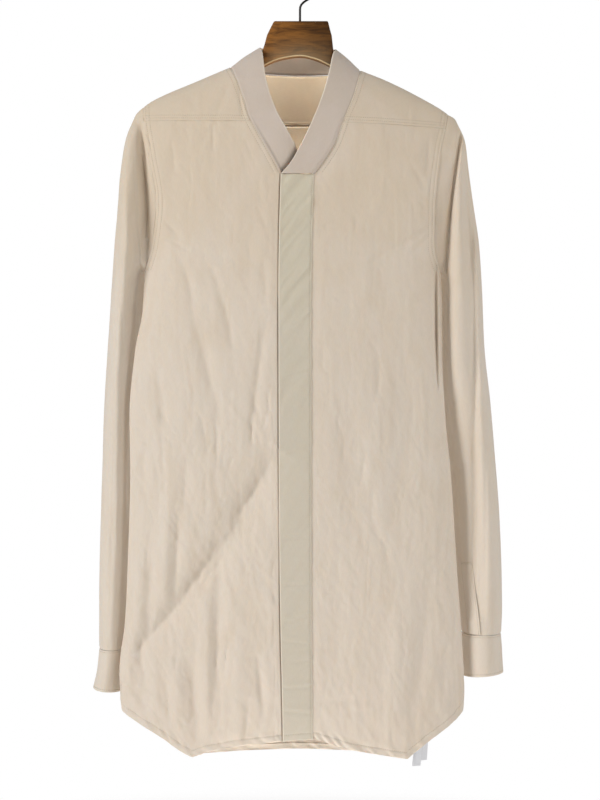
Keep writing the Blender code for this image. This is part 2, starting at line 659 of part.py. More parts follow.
def makeFrontBand(side, name, material):
    seam = bandSeam(side)
    count = len(seam)
    lengths = [0.0]
    for a, b in zip(seam, seam[1:]):
        lengths.append(lengths[-1] + (b - a).length)
    top = [bandTop(side, length / lengths[-1]) for length in lengths]
    inward = [(b - a).normalized() for a, b in zip(seam, top)]
    seam = [a + way * SEAM_GAP for a, way in zip(seam, inward)]
    over = BAND_CLOTH + 1.5 * LAY_GAP if side == LEFT else 0.0
    past = [max(0.0, k / (count - 1) - BAND_LAP_END) for k in range(count)]
    lifts = [over * max(0.0, 1 - way / BAND_LAP_FADE) for way in past]
    return makeBandWall(name, seam, top, lifts, [count - 1], material)


def makeBackBand(material):
    seam = []
    top = []
    rightTop = bandTop(RIGHT, 1.0)
    leftTop = bandTop(LEFT, 1.0)
    places = neckAcrossBack()
    stops = [(NECK_RIDGE_X[RIGHT], 0.0)] + places + [(NECK_RIDGE_X[LEFT], 0.0)]
    for k, (x, drop) in enumerate(stops):
        share = k / (len(stops) - 1)
        point = torsoByDrop(BACK, x, drop)
        bend = math.sin(math.pi * share)
        upper = rightTop.lerp(leftTop, 0.5 - 0.5 * math.cos(math.pi * share))
        upper.y = BAND_BACK_TOP_Y * bend ** BAND_BACK_BEND
        upper.z = upper.z + (BAND_BACK_TOP_Z - upper.z) * bend
        way = (upper - point).normalized()
        seam.append(point + way * SEAM_GAP)
        top.append(upper)
    ends = Vector((0, SEAM_GAP, 0))
    for row in (seam, top):
        row[0] = row[0] + ends
        row[-1] = row[-1] + ends
    return makeBandWall("neckband_back", seam, top, [0.0] * len(seam), [0, len(seam) - 1], material)


def makePlacket(material):
    heights = LEVELS[NECK_LEVELS - 1:]
    rows = []
    for k in range(len(heights) + HEM_ROWS):
        index = NECK_LEVELS - 1 + k
        guide = rowGuide(index)
        right = lineX(RIGHT, guide)
        left = lineX(LEFT, guide)
        places = [right + (left - right) * share for share in BAND_COLUMNS]
        rows.append([(x, panelLevel(FRONT_HEM, x, index)) for x in places])
    points = [[torsoPoint(FRONT, x, z) for x, z in row] for row in rows]
    normals = [[torsoNormal(FRONT, x, z) for x, z in row] for row in rows]
    outer = raised(points, normals, LAY_GAP + BAND_CLOTH)
    return makeWall("placket", outer, raised(points, normals, LAY_GAP), material)


# ---------------------------------------------------------------- sleeves

def armholeLoop(side):
    """Armhole as the sleeve meets it: over the front to the armpit and up the back."""
    points = [torsoByDrop(FRONT, SHOULDER_POINT_X[side], 0.0)]
    for x, drop in reversed(armholeAcrossYoke(side, FRONT)):
        points.append(torsoByDrop(FRONT, x, drop))
    for z in LEVELS[:ARMHOLE_LEVELS]:
        points.append(torsoPoint(FRONT, edgeX(side, z), z))
    points.append(torsoPoint(FRONT, edgeX(side, ARMPIT_Z), ARMPIT_Z))
    for z in reversed(LEVELS[:ARMHOLE_LEVELS]):
        points.append(torsoPoint(BACK, edgeX(side, z), z))
    for x, drop in armholeAcrossYoke(side, BACK):
        points.append(torsoByDrop(BACK, x, drop))
    return points


def ringAngles(loop):
    """Angle of each point of the armhole in the rings: 0 at the top, half a turn at the armpit."""
    top = max(p.z for p in loop)
    low = min(p.z for p in loop)
    armpit = min(range(len(loop)), key=lambda k: loop[k].z)
    angles = []
    for k, p in enumerate(loop):
        angle = math.acos(max(-1.0, min(1.0, (2 * p.z - top - low) / (top - low))))
        angles.append(angle if k <= armpit else 2 * math.pi - angle)
    return angles


def ringPoint(table, ring, angle, grow=0.0):
    """Point of an oval ring; grow moves it outwards."""
    outer = Vector((table.at("outerX", ring), 0, table.at("outerZ", ring)))
    inner = Vector((table.at("innerX", ring), 0, table.at("innerZ", ring)))
    half = (outer - inner) / 2
    depth = table.at("depth", ring)
    centre = (outer + inner) / 2 + Vector((0, table.at("y", ring), 0))
    arm = half * (1 + grow / half.length)
    return centre + arm * math.cos(angle) + Vector((0, -(depth + grow), 0)) * math.sin(angle)


def ringWall(name, rings, thickness, material):
    """Tube through rings of points, with the wall inside them."""
    rows = len(rings)
    count = len(rings[0])
    normals = []
    for j in range(rows):
        turned = []
        for i in range(count):
            along = rings[min(j + 1, rows - 1)][i] - rings[max(j - 1, 0)][i]
            around = rings[j][(i + 1) % count] - rings[j][i - 1]
            normal = around.cross(along)
            normal.normalize()
            centre = sum(rings[j], Vector()) / count
            if normal.dot(rings[j][i] - centre) < 0:
                normal = -normal
            turned.append(normal)
        normals.append(turned)
    return makeWall(name, rings, raised(rings, normals, -thickness), material, closed=True)


def makeSleeve(side, name, material):
    loop = armholeLoop(side)
    angles = ringAngles(loop)
    out = Vector((side * SEAM_GAP * 2, 0, 0))
    rings = [[p + out for p in loop]]
    table = SLEEVES[side]
    for row in table.rows:
        rings.append([ringPoint(table, row[0], angle) for angle in angles])
    return ringWall(name, rings, CLOTH, material)


def makeCuff(side, name, material):
    angles = ringAngles(armholeLoop(side))
    table = CUFFS[side]
    rings = [[ringPoint(table, row[0], angle) for angle in angles] for row in table.rows]
    return ringWall(name, rings, BAND_CLOTH, material)


def makeSleevePlacket(side, name, material):
    spec = SLEEVE_PLACKETS[side]
    table = SLEEVES[side]
    numbers = [row[0] for row in table.rows]
    heights = [row[2] for row in table.rows]
    outer = []
    inner = []
    for j in range(SLEEVE_PLACKET_ROWS + 1):
        z = spec["top"] + (spec["foot"] - spec["top"]) * j / SLEEVE_PLACKET_ROWS
        ring = float(np.interp(-z, [-h for h in heights], numbers))
        turns = [math.radians(spec["start"] + (spec["end"] - spec["start"]) * i / SLEEVE_PLACKET_COLUMNS)
                 for i in range(SLEEVE_PLACKET_COLUMNS + 1)]
        lower = LAY_GAP + PLACKET_EASE
        inner.append([ringPoint(table, ring, turn, lower) for turn in turns])
        outer.append([ringPoint(table, ring, turn, lower + CLOTH) for turn in turns])
    return makeWall(name, outer, inner, material)


# ---------------------------------------------------------------- labels, hanger and hook

def makeLabel(name, spec, material):
    rows = [(*spec["start"], 0)] + spec["rows"]
    outer = []
    inner = []
    for k, (x, y, z, turn) in enumerate(rows):
        centre = Vector((x, y, z))
        angle = math.radians(turn)
        level = Vector((LABEL_LEAN_X, LABEL_LEAN_Y, 0)) * math.sin(angle)
        wide = (level + Vector((0, 0, math.cos(angle)))).normalized()
        before = Vector(rows[max(0, k - 1)][:3])
        after = Vector(rows[min(len(rows) - 1, k + 1)][:3])
        thin = wide.cross(after - before).normalized() * (LABEL_CLOTH / 2)
        reach = wide * (spec["width"] / 2)
        outer.append([centre - reach + thin, centre + reach + thin])
        inner.append([centre - reach - thin, centre + reach - thin])
    return makeWall(name, outer, inner, material)


def makeHanger(material):
    """Loft through sections along x, each a block with its long edges cut."""
    verts = []
    for row in HANGER:
        cut = row["half"] * HANGER_EDGE
        low = row["bottom"]
        high = row["top"]
        half = row["half"]
        ring = [(-half, low + cut), (-half, high - cut), (-half + cut, high), (half - cut, high),
                (half, high - cut), (half, low + cut), (half - cut, low), (-half + cut, low)]
        verts += [(row["x"], y, z) for y, z in ring]
    faces = []
    for k in range(len(HANGER) - 1):
        for i in range(8):
            a = k * 8 + i
            b = k * 8 + (i + 1) % 8
            faces.append((a, b, b + 8, a + 8))
    faces.append(tuple(range(8)))
    faces.append(tuple(range(len(verts) - 8, len(verts))))
    return makeObject("hanger", verts, faces, material)


def makeHook(material):
    """Wire bent to a hook: a POLY curve with round section."""
    radius = HOOK_RADIUS + WIRE
    centre = (0.0, -HOOK_RADIUS)
    start = math.radians(HOOK_START_ANGLE)
    path = [(0.0, SHANK_TOP_Z + SHANK_SEAT), (0.0, -0.0560), (0.0, -0.0500), (0.0016, -0.0462),
            (0.0050, -0.0426)]
    turns = 18
    for k in range(turns + 1):
        angle = start + (math.radians(HOOK_END_ANGLE) - start) * k / turns
        path.append((centre[0] + radius * math.cos(angle), centre[1] + radius * math.sin(angle)))
    curve = bpy.data.curves.new("hook", "CURVE")
    curve.dimensions = "3D"
    curve.bevel_depth = WIRE
    curve.bevel_resolution = 2
    curve.use_fill_caps = True
    spline = curve.splines.new("POLY")
    spline.points.add(len(path) - 1)
    for point, (x, z) in zip(spline.points, path):
        point.co = (x, 0.0, z, 1)
    made = bpy.data.objects.new("hook", curve)
    made.data.materials.append(material)
    bpy.context.collection.objects.link(made)
    return made


def main():
    for old in list(bpy.data.objects):
        bpy.data.objects.remove(old, do_unlink=True)
    cotton = makeMaterial("beige cotton", (0.60, 0.51, 0.40), 0.85)
    band = makeMaterial("greyish pink cotton band", (0.55, 0.48, 0.41), 0.85)
    facing = makeMaterial("grey beige cotton placket", (0.50, 0.46, 0.36), 0.85)
    satin = makeMaterial("pale satin label", (0.66, 0.68, 0.70), 0.5)
    wood = makeMaterial("dark reddish brown wood", (0.14, 0.06, 0.025), 0.45)
    steel = makeMaterial("black wire", (0.01, 0.01, 0.01), 0.4, 0.6)

    makeFront(RIGHT, "front_right", cotton)
    makeFront(LEFT, "front_left", cotton)
    makeBack(cotton)
    makeYoke(cotton)
    makeFrontBand(RIGHT, "neckband_right", band)
    makeFrontBand(LEFT, "neckband_left", band)
    makeBackBand(band)
    makePlacket(facing)
    makeSleeve(RIGHT, "sleeve_right", cotton)
    makeSleeve(LEFT, "sleeve_left", cotton)
    makeCuff(RIGHT, "cuff_right", cotton)
    makeCuff(LEFT, "cuff_left", cotton)
    makeSleevePlacket(RIGHT, "sleeve_placket_right", cotton)
    makeSleevePlacket(LEFT, "sleeve_placket_left", cotton)
    for name, spec in LABELS.items():
        makeLabel(name, spec, satin)
    makeHanger(wood)
    makeHook(steel)


main()
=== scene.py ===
import math
import bpy
import numpy as np
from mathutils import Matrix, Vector


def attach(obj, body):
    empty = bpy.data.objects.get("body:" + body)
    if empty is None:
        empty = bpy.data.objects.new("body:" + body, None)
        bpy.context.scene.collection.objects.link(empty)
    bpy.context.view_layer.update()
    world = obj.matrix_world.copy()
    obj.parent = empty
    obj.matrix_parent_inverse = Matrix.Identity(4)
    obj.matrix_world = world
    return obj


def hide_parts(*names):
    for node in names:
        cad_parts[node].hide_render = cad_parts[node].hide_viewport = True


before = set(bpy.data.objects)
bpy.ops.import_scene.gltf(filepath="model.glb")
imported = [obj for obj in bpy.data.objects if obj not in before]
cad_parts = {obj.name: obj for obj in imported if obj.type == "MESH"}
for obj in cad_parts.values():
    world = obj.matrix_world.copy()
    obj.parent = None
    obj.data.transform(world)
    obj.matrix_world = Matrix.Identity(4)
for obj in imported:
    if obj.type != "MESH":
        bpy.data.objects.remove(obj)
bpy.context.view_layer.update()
bpy.ops.object.select_all(action="DESELECT")
print("stage: frame loaded")

right, left = -1, 1          # the wearer's sides, as signs of x
front, back = -1, 1          # as signs of y
mm = 0.001

# rows of tables are in millimetres, but for rings and shares of a length; other sizes are in metres

# the hanging body: its side edges, the y of the side seam, and how far front and back stand from it
bodyForm = {
    "columns": "z right left side front back",
    "rows": [
        (-100, -236, 219, 0, 50, 55), (-200, -234, 219, 0, 50, 58), (-300, -222, 207, 0, 51, 61),
        (-400, -206.2, 186.5, -6, 48, 68), (-450, -208, 188, -8, 46, 71), (-505, -217.8, 188, -10, 45, 74),
        (-590, -225, 191.7, -12, 44, 77), (-665, -224, 198.8, -13, 44, 80),
        (-795, -227.5, 207.2, -14, 45, 83), (-860, -230.7, 212, -13, 46, 84),
        (-928, -238.3, 215.8, -12, 48, 85), (-970, -236.1, 216.3, -12, 49, 86),
        (-1050, -234, 215, -11, 50, 87),
    ],
    "roll": {front: 0.115, back: 0.085},     # height over which cloth turns down from the shoulder
    "flat": {front: 0.20, back: 0.70},
}
shoulderRidge = {
    "columns": "x z",
    "rows": [
        (-240, -210), (-207.3, -181.5), (-192.1, -171.9), (-131.2, -145.4), (-91.8, -128.8), (-40, -110),
        (-5, -100), (35, -112), (79.5, -132.8), (111.3, -145.4), (164.3, -171.9), (196.5, -191.5),
        (230, -220),
    ],
}
armholeEdge = {
    "columns": "z right left",
    "rows": [
        (-184.5, -207.3, 196.5), (-200, -206.8, 195), (-243, -199.9, 186), (-310, -189.3, 178.5),
        (-367, -196, 177.5), (-400, -206.2, 186.5),
    ],
    "ridge": {right: -0.2073, left: 0.1965},
    "crowd": 1.8,             # how closely the rows of a grid crowd towards the ridge
    "armpit": -0.400,
}
neckFront = {
    "columns": "z right left",
    "rows": [
        (-275.5, -25, 18.5), (-256.1, -35.1, 32.5), (-235.3, -46.8, 45.2), (-214.2, -58.8, 53),
        (-198.2, -66.8, 58.8), (-173.4, -74.5, 68.9), (-152, -81.5, 75.2), (-132.8, -90, 79.5),
        (-128.8, -91.8, 79.5),
    ],
    "foot": -0.2755,
    "ridge": {right: -0.0918, left: 0.0795},
    "crowd": 1.6,
}
neckBack = {
    "columns": "x z",
    "rows": [
        (-91.8, -128.8), (-83, -130.2), (-50, -132.2), (-5, -133), (40, -133.5), (70, -133.4),
        (79.5, -132.8),
    ],
}
frontYokeSeam = {
    "columns": "x z",
    "rows": [(-206.8, -200.5), (-67.7, -204.8), (56, -206.5), (193.7, -210.5)],
}
backYokeSeam = -0.1995
frontHem = {
    "columns": "x z",
    "straight": True,
    "rows": [
        (-236.1, -970.5), (-234.8, -978.3), (-215.7, -990.2), (-196.1, -1000.9), (-176, -1012.7),
        (-158.8, -1024.9), (-140.4, -1034.2), (-122.2, -1027), (-77.8, -1018), (-22, -1011.3),
        (19.1, -1008.4), (48, -1017.8), (66.1, -1023.2), (104, -1030.4), (139.8, -1036.9), (171, -1013.1),
        (188.5, -1001.4), (203.8, -990.2), (215, -978.3), (216.3, -969.5),
    ],
}
backHem = {
    "columns": "x z",
    "straight": True,
    "rows": [
        (-236.1, -970.5), (-235, -978.3), (-216.5, -992), (-197.5, -1004), (-178, -1017), (-162, -1031),
        (-145, -1047), (-5, -1044), (136, -1046), (171, -1020), (188.5, -1005), (203.8, -992),
        (215, -978.3), (216.3, -969.5),
    ],
}
placketEdge = {
    "columns": "z right left",
    "rows": [
        (-1040, -21.5, 17), (-946, -23.3, 16.3), (-881, -24.9, 15.4), (-785, -26.3, 15.2),
        (-600, -27.5, 15.2), (-430, -27.9, 15.1), (-350, -27.1, 16.2), (-275.5, -25, 18.5),
    ],
    "underX": 0.0094,
}

# folds of the hanging cloth: a bowed line from x, z to x, z, the width of its two banks, its depth and how
# sharp its line is
bodyFolds = {
    "columns": "x0 z0 x1 z1 bow bankA bankB depth sharp",
    front: [
        # the long slanting fold from the front edge down to the right side, and what breaks it up
        (-28.6, -631.8, -222.3, -907.4, 13.5, 26, 20, 18, 1.2), (-50, -670, -90, -730, 1, 4, 5, 3, 1.1),
        (-105, -750, -150, -820, 3, 5, 6, 3, 1.2), (-60, -690, -150, -815, 4, 9, 9, -3.2, 2),
        (-158, -838, -222, -907, 1, 4, 5, 4, 1), (-98, -770, -140, -828, 2, 4, 6, 3.2, 1.1),
        # upright folds above it, at the right side
        (-197, -745, -200, -886, 1, 7, 7, 3.4, 1.8), (-174, -690, -182, -848, 1, 9, 9, -4.8, 2),
        (-159, -715, -167, -834, 2, 6, 6, 3.8, 1.6), (-213, -760, -217, -886, 0, 6, 6, -3.5, 2),
        (-206, -630, -207, -705, 1, 5, 5, 2.7, 1.6), (-182, -636, -180, -668, 0, 3, 3, 1.6, 1.2),
        (-187, -528, -180, -604, 1, 6, 5, 2.4, 1.7), (-184, -582, -173, -602, 1, 3, 3, 1.8, 1.1),
        # the pocket and the bump where it runs out
        (-212, -884, -203, -950, 2, 7, 7, 4.2, 1.7), (-226, -908, -227, -942, 0, 8, 9, -6.9, 2),
        (-222, -944, -198, -978, 2, 6, 5, 3.8, 1.5),
        # upright folds below it
        (-104, -775, -113, -965, 2, 8, 7, 5.2, 1.5), (-143, -898, -134, -1030, 2, 9, 9, 6, 1.7),
        (-122, -825, -122, -1020, 1, 7, 7, -4, 2), (-92, -872, -104, -952, 1, 3, 4, 2.9, 1),
        (-82, -878, -84, -1012, 2, 11, 11, -3.5, 2), (-57, -900, -47, -986, 1, 6, 6, 3.5, 1.5),
        (-68, -955, -74, -1015, 1, 4, 4, 2.6, 1.2), (-165, -905, -160, -1000, 1, 9, 8, -3, 2),
        (-176, -930, -172, -990, 1, 4, 4, 2.6, 1.3), (-127, -905, -124, -960, 1, 3, 3, 1.9, 1),
        # the middle of the right front
        (-147, -435, -100, -628, 4, 9, 8, 3.4, 1.6), (-102, -430, -87, -508, 1, 5, 5, 2.6, 1.4),
        (-134, -580, -120, -642, 2, 3, 4, 2.6, 1.1), (-112, -585, -108, -690, 1, 4, 4, 2.4, 1.3),
        (-98, -600, -104, -680, 1, 4, 3, 1.9, 1.2), (-150, -640, -152, -720, 1, 5, 5, 2.2, 1.5),
        (-43, -458, -63, -640, -3, 6, 7, 3.4, 1.5), (-48, -388, -45, -445, 1, 5, 5, 1.9, 1.5),
        (-60, -560, -52, -610, 1, 4, 5, 2.4, 1.3), (-42, -555, -40, -588, 0, 3, 4, 2.8, 1.1),
        (-40, -580, -50, -608, 1, 3, 3, 2.4, 1.2), (-64, -585, -63.5, -628, 1, 3, 4, 2.8, 1.2),
        (-118, -596, -116.5, -636, 1, 2.5, 3, 2.6, 1.1), (-108, -602, -107, -638, 1, 2.5, 3, 2.2, 1.1),
        (-88, -642, -95, -669, 0, 3, 3, 2, 1.1), (-95, -664, -83, -690, 0, 3, 3, 2, 1.1),
        # the right chest and armhole
        (-58, -315, -45, -345, 1, 3, 3, 1.3, 1), (-83, -146, -74, -206, 1, 4, 4, 2.4, 1.4),
        (-91, -150, -116, -206, 1, 5, 4, 1.8, 1.4), (-72, -160, -66, -204, 1, 3, 3, 1.5, 1.3),
        (-114, -208, -113, -246, 0, 3, 3, 2.4, 1.1), (-203.5, -216, -195, -236, 0, 2.5, 2.5, 2.6, 1.2),
        (-195, -235, -200, -249, 0, 2.5, 2.5, 1.6, 1.2), (-131, -236, -113, -211, 0, 4, 4, 1, 1.3),
        (-72, -228, -62, -256, 0, 3, 3, 1.1, 1.1), (-169, -226, -164, -276, 1, 5, 4, 1.7, 1.3),
        (-178, -335, -156, -362, 2, 4, 3, 2.1, 1.2), (-178, -358, -144, -376, 2, 4, 4, 2.2, 1.2),
        (-158, -378, -138, -456, 3, 7, 6, 2.8, 1.5), (-117, -392, -100, -456, 2, 6, 5, 1.9, 1.5),
        # the left chest and armhole
        (169, -224, 165, -277, 1, 4, 3, 2.4, 1.2), (145, -260, 163, -293, 1, 4, 4, 1.5, 1.2),
        (156, -309, 170, -322, 0, 3, 3, 1.4, 1.1), (158, -326, 171, -332, 0, 2.5, 2.5, 1.2, 1.1),
        (171, -341, 118, -372, 3, 4, 4, 2.4, 1.3), (172, -350, 145, -375, 2, 3, 4, 2.2, 1.2),
        (120, -370, 90, -391, 1, 5, 4, 1.4, 1.4), (21, -350, 47, -341, 1, 3, 3, 1.2, 1.2),
        (73, -329, 73, -353, 0, 3, 3, 1, 1.2),
        # the middle of the left front
        (90, -492, 103, -512, 1, 5, 5, 1.5, 1.3), (103, -508, 100, -570, 1, 6, 6, 2.6, 1.5),
        (47, -594, 56, -620, 1, 3, 4, 1.6, 1), (57, -616, 55, -650, 0, 4, 4, 1.6, 1.2),
        (29, -500, 30, -535, 0, 5, 5, 1.5, 1.6), (79, -614, 83, -646, 1, 4, 4, 1.2, 1.3),
        (83, -642, 77, -684, 1, 5, 5, 1.6, 1.5), (147, -560, 147, -602, 0, 4, 4, 1.1, 1.4),
        (93, -680, 91, -726, 1, 6, 6, 1.8, 1.6), (91, -720, 106, -760, 1, 6, 6, 1.8, 1.6),
        (60, -560, 70, -760, 3, 16, 16, 2.4, 2), (135, -470, 128, -760, 3, 18, 18, 2.4, 2),
        # the left front towards its hem
        (107, -748, 117, -804, 1, 6, 5, 1.8, 1.4), (163, -786, 191, -762, 1, 3, 3, 1.3, 1.1),
        (166, -806, 182, -788, 1, 3, 3, 1, 1.1), (165, -800, 146, -1005, 4, 13, 10, 4.1, 1.7),
        (130, -820, 118, -1000, 3, 14, 14, -2.5, 2), (20, -962, 101, -960, 2, 7, 8, 1.3, 1.7),
        (45, -978, 98, -974, 2, 5, 5, 0.9, 1.4), (16, -894, 53, -889, 1, 6, 6, 1, 1.6),
        (40, -760, 50, -940, 3, 12, 12, 1.6, 2), (190, -900, 186, -965, 1, 6, 6, 1.5, 1.5),
        # the sharp fold beside the left side seam, below the armhole
        (179.5, -385, 181.5, -560, -1, 1.6, 2.6, 16, 1.6),
    ],
    back: [
        (-90, -235, -120, -900, 10, 26, 22, 6.2, 1.6), (70, -225, 110, -860, -8, 22, 26, 5.8, 1.6),
        (20, -400, -150, -820, 14, 22, 14, 5.8, 1.3), (-10, -215, -12, -560, 4, 14, 14, -3.2, 2),
        (-165, -360, -110, -480, 6, 8, 7, 3.8, 1.3), (155, -360, 100, -500, -5, 7, 8, 3.8, 1.3),
        (-150, -560, -60, -640, 4, 9, 7, 2.8, 1.3), (160, -600, 60, -700, -4, 9, 8, 3.2, 1.3),
        (-60, -800, -72, -1020, 3, 10, 9, 5.2, 1.5), (50, -780, 40, -1030, 2, 9, 12, 4.8, 1.5),
        (-170, -820, -176, -990, 2, 9, 8, 4.2, 1.6), (150, -800, 162, -990, 2, 10, 8, 4.5, 1.6),
        (-10, -760, 0, -980, 3, 11, 11, -3.5, 2), (100, -640, 96, -760, 2, 5, 5, 2.9, 1.2),
        (-110, -460, -98, -560, 2, 5, 6, 2.9, 1.2),
    ],
}


def sideName(side):
    return "right" if side == right else "left"


# a smooth curve through points, without overshoot between them
def readCurve(x, y, where):
    step = np.diff(x)
    rise = np.diff(y) / step
    slope = np.zeros(len(x))
    same = rise[:-1] * rise[1:] > 0
    slope[1:-1][same] = 2 * rise[:-1][same] * rise[1:][same] / (rise[:-1] + rise[1:])[same]
    slope[0], slope[-1] = rise[0], rise[-1]
    where = np.clip(where, x[0], x[-1])
    i = np.clip(np.searchsorted(x, where) - 1, 0, len(step) - 1)
    t = (where - x[i]) / step[i]
    return ((1 + 2 * t) * (1 - t) ** 2 * y[i] + t * (1 - t) ** 2 * step[i] * slope[i]
            + t * t * (3 - 2 * t) * y[i + 1] - t * t * (1 - t) * step[i] * slope[i + 1])


def readTable(table, column, where):
    data = np.array(sorted(table["rows"]), dtype=float)
    names = table["columns"].split()
    x = data[:, 0] * (mm if names[0] in ("x", "z") else 1)
    y = data[:, names.index(column)] * mm
    where = np.asarray(where, dtype=float)
    return np.interp(where, x, y) if table.get("straight") else readCurve(x, y, where)


def ridgeZ(x):
    return readTable(shoulderRidge, "z", x)


def yokeSeamZ(x):
    return readTable(frontYokeSeam, "z", x)


def hemZ(face):
    return lambda x: readTable(frontHem if face == front else backHem, "z", x)


# a smooth random field with about one hill or hollow to each unit
def softNoise(u, v, seed):
    size = 128
    lattice = np.random.default_rng(seed).uniform(-1, 1, (size, size))
    iu, iv = np.floor(u).astype(int), np.floor(v).astype(int)
    fu, fv = (f * f * (3 - 2 * f) for f in (u - iu, v - iv))
    a, b, c, d = (lattice[(iu + k) % size, (iv + n) % size] for n in (0, 1) for k in (0, 1))
    return (a + (b - a) * fu) * (1 - fv) + (c + (d - c) * fu) * fv


# creased cloth: soft facets that meet in fine lines; wide and tall are the facets' size
def crumple(u, v, wide, tall, seed):
    u, v = u / wide, v / tall
    warpU = u + 0.8 * softNoise(u * 0.7, v * 0.7, seed + 1)
    warpV = v + 0.8 * softNoise(u * 0.7, v * 0.7, seed + 2)
    field = softNoise(warpU, warpV, seed) + 0.35 * softNoise(warpU * 2.1, warpV * 2.1, seed + 3)
    return np.sqrt(field * field + 0.004) - 0.35


def smoothStep(low, high, value):
    t = np.clip((value - low) / (high - low), 0, 1)
    return t * t * (3 - 2 * t)


def groove(distance, place, width):
    return np.exp(-((distance - place) / width) ** 2)


# how far the folds of a table sink the cloth at x, z; their ends fade out and their banks are rounded
def foldDepth(folds, x, z):
    total = np.zeros_like(x)
    for x0, z0, x1, z1, bow, bankA, bankB, depth, sharp in folds:
        wayX, wayZ = x1 - x0, z1 - z0
        length = math.hypot(wayX, wayZ)
        fromX, fromZ = x / mm - x0, z / mm - z0
        along = np.clip((fromX * wayX + fromZ * wayZ) / length ** 2, 0, 1)
        across = (fromX * wayZ - fromZ * wayX) / length + bow * 4 * along * (1 - along)
        bank = np.where(across < 0, bankA, bankB)
        profile = np.exp(-np.sqrt((across / bank) ** 2 + 0.01) ** sharp)
        total = total + depth * mm * np.sin(np.pi * along) ** 0.6 * profile
    return total


def bodyY(face, x, z):
    edgeA = readTable(bodyForm, "right", z)
    edgeB = readTable(bodyForm, "left", z)
    share = np.clip((2 * x - edgeA - edgeB) / (edgeB - edgeA), -1, 1)
    sine = np.sqrt(np.maximum(0, 1 - share * share))
    flat = bodyForm["flat"][face]
    depth = readTable(bodyForm, "front" if face == front else "back", z)
    swell = depth * ((1 - flat) * sine + flat * sine * sine)
    sunk = foldDepth(bodyFolds[face], x, z) * np.minimum(1, 2 * sine)
    return readTable(bodyForm, "side", z) + face * (swell - sunk)


# a point of the body, a way down from the shoulder ridge
def bodyByDrop(face, x, drop):
    x = np.asarray(x, dtype=float)
    roll = bodyForm["roll"][face]
    turn = np.minimum(drop / roll, np.pi / 2)
    z = ridgeZ(x) - roll * (1 - np.cos(turn)) - np.maximum(0, drop - roll * np.pi / 2)
    return np.stack([x, bodyY(face, x, z) * np.sin(turn), z], axis=-1)


def dropAt(face, x, z):
    roll = bodyForm["roll"][face]
    down = np.maximum(0, ridgeZ(x) - z)
    turned = roll * np.arccos(np.clip(1 - down / roll, -1, 1))
    return np.where(down < roll, turned, roll * np.pi / 2 + down - roll)


def bodyPoint(face, x, z):
    return bodyByDrop(face, x, dropAt(face, x, z))


# a side line that reads one table above a level and another one below it
def joinedEdges(side, level, upper, lower):
    name = sideName(side)
    return lambda z: np.where(z > level, readTable(upper, name, z), readTable(lower, name, z))


def outerEdge(side):
    return joinedEdges(side, armholeEdge["armpit"], armholeEdge, bodyForm)


def innerEdge(side):
    return joinedEdges(side, neckFront["foot"], neckFront, placketEdge)


# shares of a width that crowd together near both edges, where seams and stitching are
def crowdedShares(width, step, startEdge=True, endEdge=True):
    near = [0, 0.5, 1.0, 1.6, 2.2, 2.9, 3.6, 4.4, 5.4, 6.5, 7.3, 8.1, 9.2, 10.8]
    near = [d * mm for d in near if d * mm < width * 0.3]
    start = near if startEdge else [0]
    end = [width - d for d in near] if endEdge else [width]
    count = max(1, round((end[-1] - start[-1]) / step))
    middle = np.linspace(start[-1], end[-1], count + 1)[1:-1]
    return np.array(start + list(middle) + end[::-1]) / width


# x and z over a panel between two side lines and two end lines
def panelPlaces(outer, inner, top, bottom, across, down):
    u, v = np.meshgrid(across, down)
    z = np.full(u.shape, -0.6)
    for _ in range(14):
        x = outer(z) + (inner(z) - outer(z)) * u
        z = top(x) + (bottom(x) - top(x)) * v
    return x, z


def gridNormals(points, centre, closed=False):
    if closed:
        wrapped = np.concatenate([points[:, -1:], points, points[:, :1]], axis=1)
        across = wrapped[:, 2:] - wrapped[:, :-2]
    else:
        across = np.gradient(points, axis=1)
    normals = np.cross(across, np.gradient(points, axis=0))
    normals /= np.maximum(np.linalg.norm(normals, axis=2, keepdims=True), 1e-12)
    return -normals if np.sum(normals * (points - centre)) < 0 else normals


# lengths along the rows and columns of a grid, as the cloth lay flat
def flatPlaces(points):
    across = np.linalg.norm(np.diff(points, axis=1), axis=2)
    down = np.linalg.norm(np.diff(points, axis=0), axis=2)
    across = np.pad(across, ((0, 0), (1, 0)))
    down = np.pad(down, ((1, 0), (0, 0)))
    return np.cumsum(across, axis=1), np.cumsum(down, axis=0)


def lineLengths(points):
    return np.concatenate([[0], np.cumsum(np.linalg.norm(np.diff(points, axis=0), axis=1))])


def activate(piece):
    bpy.ops.object.select_all(action="DESELECT")
    piece.select_set(True)
    bpy.context.view_layer.objects.active = piece


def addPiece(name, data, material=None):
    piece = bpy.data.objects.new(name, data)
    bpy.context.scene.collection.objects.link(piece)
    if material:
        data.materials.append(material)
    return piece


def smoothByAngle(piece, degrees):
    activate(piece)
    bpy.ops.object.shade_smooth_by_angle(angle=math.radians(degrees))
    piece.select_set(False)


